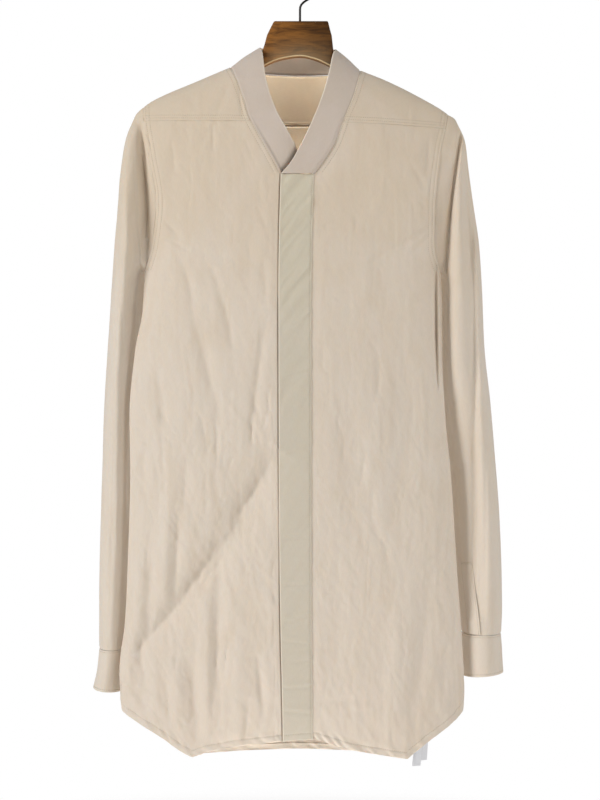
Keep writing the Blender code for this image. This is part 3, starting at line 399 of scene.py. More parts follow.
# a cloth piece with an outer and an inner face and closed rims; edge gives the share of painted highlight
# along its folded edges
def makeCloth(name, outer, normals, thickness, material, closed=False, present=None, edge=0.0):
    rows, columns = outer.shape[:2]
    half = rows * columns
    inner = outer - normals * np.broadcast_to(thickness, (rows, columns))[..., None]
    j, i = np.meshgrid(np.arange(rows - 1), np.arange(columns if closed else columns - 1), indexing="ij")
    keep = np.ones(j.shape, bool) if present is None else present(j, i)
    j, i = j[keep], i[keep]
    a = j * columns + i
    b = j * columns + (i + 1) % columns
    quads = np.stack([a, b, b + columns, a + columns], axis=1)
    edges = np.concatenate([quads[:, [k, (k + 1) % 4]] for k in range(4)])
    keys = np.sort(edges, axis=1)
    _, first, uses = np.unique(keys[:, 0] * half + keys[:, 1], return_index=True, return_counts=True)
    rim = edges[first[uses == 1]]
    rims = np.concatenate([rim[:, ::-1], rim + half], axis=1)
    faces = np.concatenate([quads, quads[:, ::-1] + half, rims])
    used = np.unique(faces)
    place = np.zeros(2 * half, int)
    place[used] = np.arange(len(used))
    faces = place[faces]

    def bothFaces(outside, inside):
        return np.concatenate([outside.reshape(half, -1), inside.reshape(half, -1)])[used].astype(np.float32)

    points = bothFaces(outer, inner)
    x, y, z = (points[faces[:len(quads), k]] for k in (0, 1, 2))
    if np.sum(np.cross(y - x, z - x) * normals[j, i]) < 0:
        faces = faces[:, ::-1]
    mesh = bpy.data.meshes.new(name)
    mesh.vertices.add(len(points))
    mesh.vertices.foreach_set("co", points.ravel())
    mesh.loops.add(faces.size)
    mesh.loops.foreach_set("vertex_index", faces.astype(np.int32).ravel())
    mesh.polygons.add(len(faces))
    mesh.polygons.foreach_set("loop_start", np.arange(0, faces.size, 4, dtype=np.int32))
    mesh.update(calc_edges=True)
    flat = np.stack(flatPlaces(outer), axis=2)
    mesh.uv_layers.new(name="cut").data.foreach_set("uv", bothFaces(flat, flat)[faces.ravel()].ravel())
    # painted highlight: the edge share lightens the cloth's colour along its folded edges
    highlightMarks = np.broadcast_to(edge, (rows, columns))
    mesh.attributes.new("fold", "FLOAT", "POINT").data.foreach_set("value", bothFaces(highlightMarks, highlightMarks).ravel())
    piece = addPiece(name, mesh, material)
    mesh.validate()
    smoothByAngle(piece, 50)
    return piece


# the thread of one stitch
stitchForm = {
    "pitch": 2.9 * mm,
    "long": 2.1 * mm,
    "wide": 0.55 * mm,
    "high": 0.32 * mm,
    "sunk": 0.6,              # of its height: how deep its underside and its ends lie
    "full": (0.22, 0.78),     # shares of its length between which it has its full width
}


# stitches along a line of points: each a short thread that dips into the cloth at both ends
def stitchLine(points, normals):
    spec = stitchForm
    way = lineLengths(points)
    count = max(1, int(way[-1] / spec["pitch"]))
    middles = (np.arange(count) + 0.5) * way[-1] / count

    def at(values, where):
        return np.stack([np.interp(where, way, values[:, k]) for k in range(3)], axis=1)

    start = at(points, middles - spec["long"] / 2)
    end = at(points, middles + spec["long"] / 2)
    up = at(normals, middles)
    up /= np.linalg.norm(up, axis=1, keepdims=True)
    along = end - start
    along /= np.maximum(np.linalg.norm(along, axis=1, keepdims=True), 1e-9)
    side = np.cross(along, up) * spec["wide"] / 2
    up *= spec["high"]
    low = up * spec["sunk"]
    verts = [start - low]
    for share in spec["full"]:
        middle = start + (end - start) * share
        verts += [middle + side, middle + up, middle - side, middle - low]
    verts.append(end - low)
    faces = []
    for a, b in ((1, 2), (2, 3), (3, 4), (4, 1)):
        faces += [(0, a, b), (a, a + 4, b + 4, b), (a + 4, 9, b + 4)]
    return np.stack(verts, axis=1), faces


def makeStitches(name, lines, material):
    verts = []
    faces = []
    total = 0
    for points, normals in lines:
        made, pattern = stitchLine(points, normals)
        for stitch in made:
            faces += [tuple(v + total for v in face) for face in pattern]
            total += len(stitch)
        verts.append(made.reshape(-1, 3))
    mesh = bpy.data.meshes.new(name)
    mesh.from_pydata([tuple(v) for v in np.concatenate(verts)], [], faces)
    piece = addPiece(name, mesh, material)
    activate(piece)
    bpy.ops.object.mode_set(mode="EDIT")
    bpy.ops.mesh.select_all(action="SELECT")
    bpy.ops.mesh.normals_make_consistent(inside=False)
    bpy.ops.object.mode_set(mode="OBJECT")
    bpy.ops.object.shade_smooth()
    piece.select_set(False)
    return piece


# the line over a grid at one distance from an edge, read from that edge down each column or along each row
def traceLine(points, normals, distance, level, alongRows=False, fromEnd=False):
    if alongRows:
        points, normals, distance = points.swapaxes(0, 1), normals.swapaxes(0, 1), distance.T
    if fromEnd:
        points, normals, distance = points[::-1], normals[::-1], distance[::-1]
    crossed = (distance[:-1] < level) & (distance[1:] >= level)
    columns = np.nonzero(crossed.any(axis=0))[0]
    rows = crossed.argmax(axis=0)[columns]
    near, far = distance[rows, columns], distance[rows + 1, columns]
    share = ((level - near) / (far - near))[:, None]
    line = points[rows, columns] * (1 - share) + points[rows + 1, columns] * share
    return line, normals[rows, columns]


stitchRows = {}


def keepStitches(name, points, normals, distance, levels, **how):
    for level in levels:
        line = traceLine(points, normals, distance, level, **how)
        if len(line[0]) > 3:
            stitchRows.setdefault(name, []).append(line)


def toLinear(code):
    values = [int(code[k:k + 2], 16) / 255 for k in (1, 3, 5)]
    return (*(c / 12.92 if c <= 0.04045 else ((c + 0.055) / 1.055) ** 2.4 for c in values), 1)


# an input gets another node's output, a colour code or a plain value
def setInputs(tree, node, inputs):
    for name, value in inputs.items():
        if isinstance(value, bpy.types.NodeSocket):
            tree.links.new(value, node.inputs[name])
        else:
            node.inputs[name].default_value = toLinear(value) if isinstance(value, str) else value


# adds a node and gives one of its outputs
def addNode(tree, kind, output, settings={}, inputs={}):
    node = tree.nodes.new("ShaderNode" + kind)
    for name, value in settings.items():
        setattr(node, name, value)
    setInputs(tree, node, inputs)
    return node.outputs[output]


def noise(tree, place, scale, detail=2.0, roughness=0.5, distortion=0.0, kind="FBM"):
    return addNode(tree, "TexNoise", "Fac", {"noise_type": kind},
                   {"Vector": place, "Scale": scale, "Detail": detail, "Roughness": roughness,
                    "Distortion": distortion})


def bands(tree, place, direction, scale, distortion):
    return addNode(tree, "TexWave", "Fac", {"wave_type": "BANDS", "bands_direction": direction},
                   {"Vector": place, "Scale": scale, "Distortion": distortion})


def stretched(tree, place, scale, turn=(0, 0, 0)):
    return addNode(tree, "Mapping", "Vector", {}, {"Vector": place, "Scale": scale, "Rotation": turn})


def remap(tree, value, source, target=(0.0, 1.0), kind="LINEAR"):
    return addNode(tree, "MapRange", "Result", {"interpolation_type": kind},
                   {"Value": value, "From Min": source[0], "From Max": source[1],
                    "To Min": target[0], "To Max": target[1]})


def blended(tree, share, a, b):
    return addNode(tree, "Mix", "Result", {"data_type": "RGBA"}, {"Factor": share, "A": a, "B": b})


def scaled(tree, colour, factor):
    return addNode(tree, "VectorMath", "Vector", {"operation": "SCALE"}, {"Vector": colour, "Scale": factor})


def combined(tree, operation, a, b):
    return addNode(tree, "Math", "Value", {"operation": operation}, {0: a, 1: b})


def bumped(tree, height, strength, distance, under={}):
    return addNode(tree, "Bump", "Normal", {},
                   {"Height": height, "Strength": strength, "Distance": distance, **under})


def newMaterial(name):
    material = bpy.data.materials.new(name)
    material.use_nodes = True
    tree = material.node_tree
    return material, tree


def setSurface(tree, inputs):
    setInputs(tree, tree.nodes["Principled BSDF"], inputs)


# crisp cotton poplin, woven and garment washed: matt, with a dry papery hand and faint uneven dye
poplin = {
    "ground": "#d4c4ae",
    "pale": "#d8cab8",
    "warm": "#cfbea7",
    "low": "#d8ccbd",         # painted light: greyer and paler lower down, where the light is stronger
    "fold": "#e9dfcf",        # painted highlight: folded edges lighter, as where they catch the light
    "roughness": 0.80,
    "sheen": 0.12,
    "sheenRoughness": 0.55,
    "specular": 0.30,
    "blotch": 7.0,            # dye clouds to a metre
    "blotchRange": (0.38, 0.64),
    "paintedLightLevels": (-0.16, -0.62),
    "paintedLightShare": 0.85,
    "wash": 26.0,             # washed patches to a metre, drawn out upright
    "washRange": (0.42, 0.72),
    "washShare": 0.30,
    "upright": (1.0, 1.0, 0.28),
    "slubs": (1400.0, 160.0, 1.0),   # uneven yarns to a metre, across and along
    "slubShades": (0.955, 1.03),
    "yarn": 1.1 * mm,         # real yarns lie 0.2 mm apart, drawn coarse to show
    "bandsToYarn": 0.314,     # a wave texture's scale for yarns a metre wide
    "yarnBump": (0.5, 0.05 * mm),    # strength and height
    "fibreBump": (0.35, 0.10 * mm),
    "creaseBump": 1.25 * mm,
    "creaseStrength": 0.75,
    "creaseSize": 42.0,       # creases to a metre
    "passes": 0.30,           # share of the light that goes into the thin cloth and out again
    "depths": (1.3 * mm, 0.9 * mm, 0.6 * mm),
}


def makeCotton(name, changes={}):
    spec = dict(poplin, **changes)
    material, tree = newMaterial(name)
    place = addNode(tree, "TexCoord", "Object")
    cut = addNode(tree, "UVMap", "UV", {"uv_map": "cut"})
    upright = stretched(tree, place, spec["upright"])
    clouds = noise(tree, place, spec["blotch"], 3.0, 0.55, 0.6)
    height = addNode(tree, "SeparateXYZ", "Z", {}, {"Vector": place})
    washed = noise(tree, upright, spec["wash"], 4.0, 0.6, 1.2)
    slub = noise(tree, stretched(tree, cut, spec["slubs"]), 1.0, 2.0, 0.6)
    creased = noise(tree, upright, spec["creaseSize"], 3.0, 0.45, 0.8, "RIDGED_MULTIFRACTAL")
    warp, weft = (bands(tree, cut, way, spec["bandsToYarn"] / spec["yarn"], 1.2) for way in ("X", "Y"))
    soft = "SMOOTHSTEP"
    colour = blended(tree, remap(tree, clouds, spec["blotchRange"], kind=soft), spec["ground"], spec["pale"])
    # painted light: the cloth turns paler and greyer from the shoulders down to the middle of the body
    lower = remap(tree, height, spec["paintedLightLevels"], (0.0, spec["paintedLightShare"]), soft)
    colour = blended(tree, lower, colour, spec["low"])
    washes = remap(tree, washed, spec["washRange"], (0.0, spec["washShare"]), soft)
    colour = blended(tree, washes, colour, spec["warm"])
    colour = scaled(tree, colour, remap(tree, slub, (0.25, 0.75), spec["slubShades"]))
    # painted highlight: the cloth lightened along folded edges by the edge attribute
    folded = addNode(tree, "Attribute", "Fac", {"attribute_name": "fold"})
    colour = blended(tree, folded, colour, spec["fold"])
    normal = bumped(tree, creased, spec["creaseStrength"], spec["creaseBump"])
    normal = bumped(tree, combined(tree, "MULTIPLY", warp, weft), *spec["yarnBump"], {"Normal": normal})
    normal = bumped(tree, slub, *spec["fibreBump"], {"Normal": normal})
    dry = (spec["roughness"] - 0.06, spec["roughness"] + 0.08)
    setSurface(tree, {
        "Base Color": colour, "Normal": normal, "Roughness": remap(tree, washed, (0.3, 0.7), dry),
        "Sheen Weight": spec["sheen"], "Sheen Roughness": spec["sheenRoughness"],
        "Specular IOR Level": spec["specular"], "Subsurface Weight": spec["passes"],
        "Subsurface Radius": spec["depths"], "Subsurface Scale": 1.0,
    })
    return material


# polyester sewing thread: a little smoother and darker than the cloth
def makeThread(name, code):
    material, tree = newMaterial(name)
    place = addNode(tree, "TexCoord", "Object")
    shade = remap(tree, noise(tree, place, 900.0, 1.0), (0.0, 1.0), (0.85, 1.12))
    setSurface(tree, {"Base Color": scaled(tree, toLinear(code)[:3], shade), "Roughness": 0.6})
    return material


# woven satin tape of polyester: pale grey, smooth, softly glossy across its fine ribs
def makeSatin(name):
    material, tree = newMaterial(name)
    ribs = bands(tree, addNode(tree, "UVMap", "UV", {"uv_map": "cut"}), "Y", 350.0, 0.4)
    setSurface(tree, {"Base Color": blended(tree, ribs, "#d9dade", "#e6e7ea"),
                      "Normal": bumped(tree, ribs, 0.3, 0.06 * mm), "Roughness": 0.42})
    return material


# varnished hardwood, stained red brown: long grain along the arms, satin lacquer; a painted highlight along
# the lower front edge, and painted light and shade that make the block lighter at its right end and darker at
# its left end
hangerWood = {
    "dark": "#38200d",
    "light": "#7c5021",
    "streak": "#241309",
    "highlightColour": "#cdb893",
    "highlightTightness": 2.6,           # how closely the painted highlight keeps to the edge
    "along": (0.16, 1.0, 1.0),
    "lean": (0, 0.10, 0),
    "grain": 95.0,
    "grainRange": (0.22, 0.70),
    "pores": 420.0,
    "poreRange": (0.56, 0.72),
    "poreShare": 0.5,
    "paintedLightTones": (1.50, 0.62),    # painted light and shade: the board lighter at its right end, darker at its left end
    "paintedLightReach": 0.040,
    "bump": (0.35, 0.15 * mm),
}


def makeWood(name):
    spec = hangerWood
    material, tree = newMaterial(name)
    place = addNode(tree, "TexCoord", "Object")
    along = stretched(tree, place, spec["along"], spec["lean"])
    grain = noise(tree, along, spec["grain"], 5.0, 0.62, 1.6)
    pores = noise(tree, along, spec["pores"], 3.0, 0.7)
    grained = remap(tree, grain, spec["grainRange"], kind="SMOOTHSTEP")
    colour = blended(tree, grained, spec["dark"], spec["light"])
    pored = remap(tree, pores, spec["poreRange"], (0.0, spec["poreShare"]))
    colour = blended(tree, pored, colour, spec["streak"])
    # painted light and shade: the colour scaled from lighter at the block's right end to darker at its left
    # end
    paintedLightSide = addNode(tree, "SeparateXYZ", "X", {}, {"Vector": place})
    reach = (-spec["paintedLightReach"], spec["paintedLightReach"])
    colour = scaled(tree, colour, remap(tree, paintedLightSide, reach, spec["paintedLightTones"], "SMOOTHSTEP"))
    # painted highlight: a pale line along the lower front edge, from the vertex attribute
    woodEdgeHighlight = addNode(tree, "Attribute", "Fac", {"attribute_name": "woodEdgeHighlight"})
    colour = blended(tree, combined(tree, "POWER", woodEdgeHighlight, spec["highlightTightness"]), colour, spec["highlightColour"])
    setSurface(tree, {
        "Base Color": colour, "Normal": bumped(tree, pores, *spec["bump"]), "Roughness": 0.45,
        "Specular IOR Level": 0.15, "Coat Weight": 0.02, "Coat Roughness": 0.20,
    })
    return material


# steel wire with a baked black finish, slightly orange-peeled
def makeWire(name):
    material, tree = newMaterial(name)
    place = addNode(tree, "TexCoord", "Object")
    grain = noise(tree, place, 500.0, 3.0)
    setSurface(tree, {
        "Base Color": blended(tree, grain, "#17130f", "#2b2622"),
        "Normal": bumped(tree, grain, 0.2, 0.1 * mm),
        "Roughness": remap(tree, grain, (0.0, 1.0), (0.25, 0.5)), "Metallic": 0.55,
    })
    return material


cotton = makeCotton("cottonPoplin")
# the same poplin painted darker and greyer for the neck band: painted shade, for its thicker layers letting
# less light through
shadedBandCotton = makeCotton("cottonPoplinBandShaded", {
    "ground": "#c8baab", "pale": "#ccbeb1", "warm": "#c3b3a3", "low": "#c6b9ab", "creaseBump": 0.25 * mm})
placketCotton = makeCotton("cottonPoplinPlacket", {
    "ground": "#ccc3ad", "pale": "#cfc6b3", "warm": "#c8bda6", "low": "#cac0af", "creaseBump": 0.35 * mm})
thread = makeThread("polyesterThread", "#b5a48b")
satin = makeSatin("polyesterSatin")
wood = makeWood("varnishedWood")
wire = makeWire("blackWire")
print("stage: materials made")


# how far a point is from a side line or an end line of its panel
def sideDistance(x, z, line):
    slope = (line(z + mm) - line(z - mm)) / (2 * mm)
    return np.abs(x - line(z)) / np.sqrt(1 + slope * slope)


def endDistance(x, z, line):
    return sideDistance(z, x, line)


seams = {
    "groove": 0.75 * mm,       # depth where two pieces meet
    "grooveWidth": 1.1 * mm,
    "stitchGroove": 0.28 * mm,
    "stitchWidth": 1.0 * mm,
    "pucker": 0.30 * mm,
    "puckerLong": 7 * mm,      # along the seam
    "puckerReach": 9 * mm,     # away from it
    "yokePucker": 0.6,         # share of that at the seams of the yoke
    "armholeRows": (4 * mm, 9 * mm),
    "yokeRows": (3 * mm, 7 * mm),
    "neckRows": (1.8 * mm, 7.0 * mm),
    "hem": 8.2 * mm,
    "hemPucker": 1.5 * mm,
    "hemPuff": 0.35 * mm,
    "hemGroove": 0.56 * mm,
    "cloth": 0.9 * mm,
}


# the dip of a seam at an edge, with small puckers that run away from it
def seamDetail(distance, along, seed, strength=1.0):
    dip = -seams["groove"] * groove(distance, 0, seams["grooveWidth"])
    along, away = along / seams["puckerLong"], distance / seams["puckerReach"]
    ripple = softNoise(along, away / 3, seed) + 0.5 * softNoise(along * 2.3, away, seed + 5)
    return dip + strength * seams["pucker"] * ripple * np.exp(-away)


def stitchDetail(distance, rows):
    return -seams["stitchGroove"] * sum(groove(distance, row, seams["stitchWidth"]) for row in rows)


def sewnDetail(distance, along, seed, rows, strength=1.0):
    return seamDetail(distance, along, seed, strength) + stitchDetail(distance, rows)


# a turned hem: twice as thick, roped where the stitches pull it askew
def hemDetail(distance, along, seed):
    row = seams["hem"]
    roping = softNoise((along + 0.9 * distance) / (6.5 * mm), distance / (14 * mm), seed)
    inHem = smoothStep(-0.5 * mm, 1.5 * mm, distance) * (1 - smoothStep(row, row + 7 * mm, distance))
    puff = np.sin(np.pi * np.clip(distance / row, 0, 1)) ** 0.7
    return (seams["hemPucker"] * roping * inHem + seams["hemPuff"] * puff
            - seams["hemGroove"] * groove(distance, row, seams["stitchWidth"]))


def hemThickness(distance):
    return seams["cloth"] * (2 - smoothStep(seams["hem"] - 0.6 * mm, seams["hem"], distance))


# creases of the panels: the share of each field, its slant if it is fine, its width and height, and its seed
creasing = {
    front: {
        "fine": [(1, 0, 15, 62, 11), (0.75, 0, 6.5, 20, 31), (0.6, 0.6, 11, 34, 41)],
        "broad": [(1, 38, 150, 51), (0.5, 21, 70, 61)],
    },
    back: {
        "fine": [(1, 0, 17, 66, 211), (0.6, 0, 8, 24, 231), (0.6, -0.6, 12, 36, 241)],
        "broad": [(1, 40, 160, 251), (0.5, 23, 80, 261)],
    },
    "levels": (-0.42, -0.78),  # between which the amount changes from the chest's to the hem's
    "swell": 0.9 * mm,         # of broad unevenness
}


def panelCreases(face, x, z, amounts, seed):
    fine = sum(share * crumple(x + slant * z, z, wide * mm, tall * mm, first + seed)
               for share, slant, wide, tall, first in creasing[face]["fine"])
    broad = sum(share * softNoise(x / (wide * mm), z / (tall * mm), first + seed)
                for share, wide, tall, first in creasing[face]["broad"])
    chest, low = amounts
    amount = chest + (low - chest) * smoothStep(*creasing["levels"], z)
    return amount * mm * fine + creasing["swell"] * broad


# an end line at one level
def atLevel(z):
    return lambda x: np.full(np.shape(x), z)


def onArmhole(z):
    return smoothStep(armholeEdge["armpit"] - 6 * mm, armholeEdge["armpit"] + 2 * mm, z)


fronts = {
    "size": (0.190, 0.071, 0.735),    # width, height beside the neck, height below it
    "step": 2.3 * mm,
    "rowStep": 2.645 * mm,
    "underColumns": 5,                # that go on below the placket
    "creases": {right: (0.52, 1.50), left: (0.42, 0.98)},   # mm of fine creasing at the chest and at the hem
    "gap": (1.7 * mm, 1.3 * mm),      # depth and width of the dip beside the placket's free edge
}


def frontDetail(side, x, z):
    dOuter = sideDistance(x, z, outerEdge(side))
    dInner = sideDistance(x, z, innerEdge(side))
    dHem = endDistance(x, z, hemZ(front))
    onNeck = smoothStep(neckFront["foot"] - 3 * mm, neckFront["foot"] + 3 * mm, z)
    total = panelCreases(front, x, z, fronts["creases"][side], side)
    total = total * smoothStep(0, 14 * mm, dInner) * smoothStep(0, 10 * mm, dOuter)
    total += onArmhole(z) * sewnDetail(dOuter, z, 71 + side, seams["armholeRows"])
    total += onNeck * sewnDetail(dInner, z, 81 + side, seams["neckRows"])
    total += seamDetail(endDistance(x, z, yokeSeamZ), x, 91 + side, seams["yokePucker"])
    total += hemDetail(dHem, x, 101 + side)
    if side == right:
        depth, width = fronts["gap"]
        uneven = 1 + 0.5 * softNoise(z / (60 * mm), z * 0, 109)
        total -= depth * uneven * (1 - onNeck) * groove(dInner, 0, width)
    return total, dOuter, dInner, dHem


def makeFront(side, material):
    inner, bottom = innerEdge(side), hemZ(front)
    wide, beside, below = fronts["size"]
    foot = neckFront["foot"]
    footX = float(inner(foot))
    footShare = float((foot - yokeSeamZ(footX)) / (bottom(footX) - yokeSeamZ(footX)))
    across = crowdedShares(wide, fronts["step"])
    upper = crowdedShares(beside, fronts["rowStep"], endEdge=False) * footShare
    lower = footShare + (1 - footShare) * crowdedShares(below, fronts["rowStep"], startEdge=False)
    x, z = panelPlaces(outerEdge(side), inner, yokeSeamZ, bottom, across, np.concatenate([upper[:-1], lower]))
    neckRows, last = len(upper) - 1, len(across) - 1
    under = np.linspace(0, 1, fronts["underColumns"] + 1)[1:]
    edgeX = x[:, -1:]
    x = np.concatenate([x, edgeX + (placketEdge["underX"] + side * 0.2 * mm - edgeX) * under], axis=1)
    z = np.concatenate([z, np.repeat(z[:, -1:], len(under), axis=1)], axis=1)
    z[:, last:] += smoothStep(-0.98, bottom(footX), z[:, last:]) * (bottom(x[:, last:]) - bottom(edgeX))
    base = bodyPoint(front, x, z)
    normals = gridNormals(base, np.array([0, 0, -0.6]))
    detail, dOuter, dInner, dHem = frontDetail(side, x, z)
    detail[:, last + 1:] = np.minimum(detail[:, last + 1:], 0) * 0.3
    outerFace = base + normals * detail[..., None]

    def keep(rows, distance, levels, **how):
        part = slice(0, rows), slice(0, last + 1)
        keepStitches("fronts", outerFace[part], normals[part], distance[part], levels, **how)

    keep(int(np.sum(z[:, 0] > armholeEdge["armpit"])), dOuter, seams["armholeRows"], alongRows=True)
    keep(neckRows, dInner, seams["neckRows"], alongRows=True, fromEnd=True)
    keep(len(z), dHem, (seams["hem"],), fromEnd=True)
    # painted highlight along the folded edge of the hem
    return makeCloth("front_" + sideName(side) + "_cloth", outerFace, normals, hemThickness(dHem), material,
                     present=lambda j, i: (i < last) | (j >= neckRows), edge=0.1 * groove(dHem, 0, 0.8 * mm))


backPanel = {
    "size": (0.400, 0.840),
    "steps": (3.2 * mm, 3.52 * mm),
    "creases": (0.30, 0.90),
}


def makeBack(material):
    across, down = (crowdedShares(size, step) for size, step in zip(backPanel["size"], backPanel["steps"]))
    x, z = panelPlaces(outerEdge(right), outerEdge(left), atLevel(backYokeSeam), hemZ(back), across, down)
    sides = [sideDistance(x, z, outerEdge(side)) for side in (right, left)]
    dHem = endDistance(x, z, hemZ(back))
    detail = panelCreases(back, x, z, backPanel["creases"], 0)
    detail = detail * smoothStep(0, 10 * mm, sides[0]) * smoothStep(0, 10 * mm, sides[1])
    for k, distance in enumerate(sides):
        detail += onArmhole(z) * sewnDetail(distance, z, 271 + k, seams["armholeRows"])
    detail += seamDetail(np.abs(backYokeSeam - z), x, 291, seams["yokePucker"]) + hemDetail(dHem, x, 301)
    base = bodyPoint(back, x, z)
    normals = gridNormals(base, np.array([0, 0, -0.6]))
    outerFace = base + normals * detail[..., None]
    thick = hemThickness(dHem)
    arm = slice(0, int(np.sum(z[:, 0] > armholeEdge["armpit"])))
    for k, distance in enumerate(sides):
        keepStitches("back", outerFace[arm], normals[arm], distance[arm], seams["armholeRows"],
                     alongRows=True, fromEnd=k == 1)
    for points, outward in ((outerFace, normals), (outerFace - normals * thick[..., None], -normals)):
        keepStitches("back", points, outward, dHem, (seams["hem"],), fromEnd=True)
    # painted highlight along the folded edge of the hem
    return makeCloth("back_cloth", outerFace, normals, thick, material, edge=0.1 * groove(dHem, 0, 0.8 * mm))


# a neck or armhole seam from a level up to the shoulder ridge, as x and the drop from the ridge
def seamLine(edge, side, face, start, count):
    ridgeX = edge["ridge"][side]
    share = np.linspace(0, 1, count)
    z = start + (ridgeZ(ridgeX) - start) * (1 - (1 - share) ** edge["crowd"])
    x = readTable(edge, sideName(side), z)
    x[-1] = ridgeX
    drop = dropAt(face, x, z)
    drop[-1] = 0.0
    return x, drop


def neckBackLine(count):
    start, end = neckFront["ridge"][right], neckFront["ridge"][left]
    share = np.linspace(0, 1, count)
    x = start + (end - start) * (share - 0.06 * np.sin(2 * np.pi * share))
    drop = dropAt(back, x, readTable(neckBack, "z", x))
    drop[0] = drop[-1] = 0.0
    return x, drop


# the level at which the front yoke seam of one side meets the neck or the armhole, near x
def frontSeamLevel(edge, side, x):
    return yokeSeamZ(readTable(edge, sideName(side), yokeSeamZ(side * x)))


yokePanel = {
    "frontRows": 30,
    "armRows": 26,
    "backRows": 130,
    "wide": 0.110,
    "step": 3.0 * mm,
    "creases": 0.10 * mm,
    "swell": 0.30 * mm,
}


# rows across the yoke, from the right front seam over the shoulder, round the back to the left front seam
def yokeRows():
    spec = yokePanel
    shoulder = {}
    armBack = {}
    for side in (right, left):
        shoulder[side] = []
        for edge, near in ((neckFront, 0.06), (armholeEdge, 0.2)):
            start = frontSeamLevel(edge, side, near)
            shoulder[side] += seamLine(edge, side, front, start, spec["frontRows"])
        armBack[side] = seamLine(armholeEdge, side, back, backYokeSeam, spec["armRows"])
    ends = [float(readTable(armholeEdge, name, backYokeSeam)) for name in ("right", "left")]
    seamX = np.linspace(*ends, spec["backRows"])[1:]
    seam = seamX, dropAt(back, seamX, np.full(len(seamX), backYokeSeam))
    outer = [np.concatenate([armBack[right][k][::-1][1:], seam[k], armBack[left][k][1:]]) for k in (0, 1)]
    middle = [values[1:] for values in neckBackLine(len(outer[0]) + 1)] + outer
    rows = [np.concatenate([shoulder[right][k], middle[k], shoulder[left][k][::-1][1:]]) for k in range(4)]
    place = np.arange(len(rows[0]))
    onFront = (place < spec["frontRows"]) | (place >= spec["frontRows"] + len(outer[0]))
    return onFront, *rows


def makeYoke(material):
    spec = yokePanel
    onFront, neckX, neckDrop, outerX, outerDrop = yokeRows()
    t = crowdedShares(spec["wide"], spec["step"])[None, :]
    x = neckX[:, None] + (outerX - neckX)[:, None] * t
    drop = neckDrop[:, None] + (outerDrop - neckDrop)[:, None] * t
    for row in (0, -1):
        drop[row] = dropAt(front, x[row], yokeSeamZ(x[row]))
    ease = spec["frontRows"] // 2
    for row in range(1, ease):                    # the rows near the front seam bend with it
        share = (1 - row / ease) ** 2
        for end, where in ((0, row), (-1, -1 - row)):
            straight = neckDrop[end] + (outerDrop[end] - neckDrop[end]) * t[0]
            drop[where] = drop[where] + (drop[end] - straight) * share
    base = np.where(onFront[:, None, None], bodyByDrop(front, x, drop), bodyByDrop(back, x, drop))
    normals = gridNormals(base, np.array([0, 0, -0.3]))
    u, v = flatPlaces(base)
    dOuter = u[:, -1:] - u
    dFront = np.minimum(v, v[-1:] - v)
    count = len(base)
    row = np.arange(count)[:, None]
    arm = spec["frontRows"] + spec["armRows"]
    onSeam = smoothStep(arm - 4, arm + 1, row) * smoothStep(arm - 4, arm + 1, count - 1 - row)
    down = base[..., 2] + base[..., 1]
    detail = spec["creases"] * crumple(base[..., 0], down, 22 * mm, 40 * mm, 431)
    detail += spec["swell"] * softNoise(base[..., 0] / (45 * mm), down / (60 * mm), 441)
    detail *= smoothStep(0, 10 * mm, u) * smoothStep(0, 10 * mm, dOuter)
    detail += seamDetail(u, v, 401) + seamDetail(dOuter, v[:, -1:] + 0 * u, 411)
    detail += sewnDetail(dFront, u, 421, seams["yokeRows"], seams["yokePucker"])
    detail += (1 - onSeam) * stitchDetail(dOuter, seams["armholeRows"])
    detail += onSeam * stitchDetail(dOuter, seams["yokeRows"])
    thick = seams["cloth"] * (1 + 0.9 * (1 - smoothStep(2.4 * mm, 3.0 * mm, u)))
    outerFace = base + normals * detail[..., None]
    keepStitches("yoke", outerFace, normals, v, seams["yokeRows"])
    keepStitches("yoke", outerFace, normals, v[-1:] - v, seams["yokeRows"], fromEnd=True)
    keepStitches("yoke", outerFace, normals, u, seams["neckRows"], alongRows=True)
    for start, end, rows in ((0, arm, "armholeRows"), (arm, count - arm, "yokeRows"),
                             (count - arm, count, "armholeRows")):
        part = slice(start, end)
        keepStitches("yoke", outerFace[part], normals[part], dOuter[part], seams[rows],
                     alongRows=True, fromEnd=True)
    return makeCloth("yoke_cloth", outerFace, normals, thick, material)


# how far the outer face turns in at a folded edge of this thickness
def foldRound(distance, thickness):
    radius = thickness / 2
    turn = np.clip(1 - distance / radius, 0, 1)
    return 0.9 * radius * (1 - np.sqrt(1 - turn * turn))


neckBand = {
    "columns": "along rightX rightZ leftX leftZ y",
    "rows": [
        (0, 2, -275.1, -24.7, -275.1, -50.5), (0.2, -3, -246, -12, -260, -50.5),
        (0.42, -17.8, -215.7, 5.2, -228.5, -50.3), (0.56, -29.4, -194.4, 16.5, -204, -48.5),
        (0.74, -41.1, -163.2, 28.7, -172.7, -42.5), (0.86, -46.4, -138.1, 38, -140, -33),
        (0.94, -50, -110, 43.5, -113, -15), (1, -52.7, -101.9, 46.9, -104.5, 0),
    ],
    "backTopZ": -0.0970,
    "backTopY": 0.0400,
    "wide": 0.036,
    "step": 2.4 * mm,
    "cloth": 1.7 * mm,
    "crown": 1.0 * mm,
    "lap": 3.6 * mm,          # how far the left end stands over the right one
    "sunk": 2.6 * mm,
    "dip": (5.0 * mm, 4.5 * mm),   # depth and width of the dip in the right end beside the left end's edge
    "frontRows": 80,
    "backRows": 70,
}


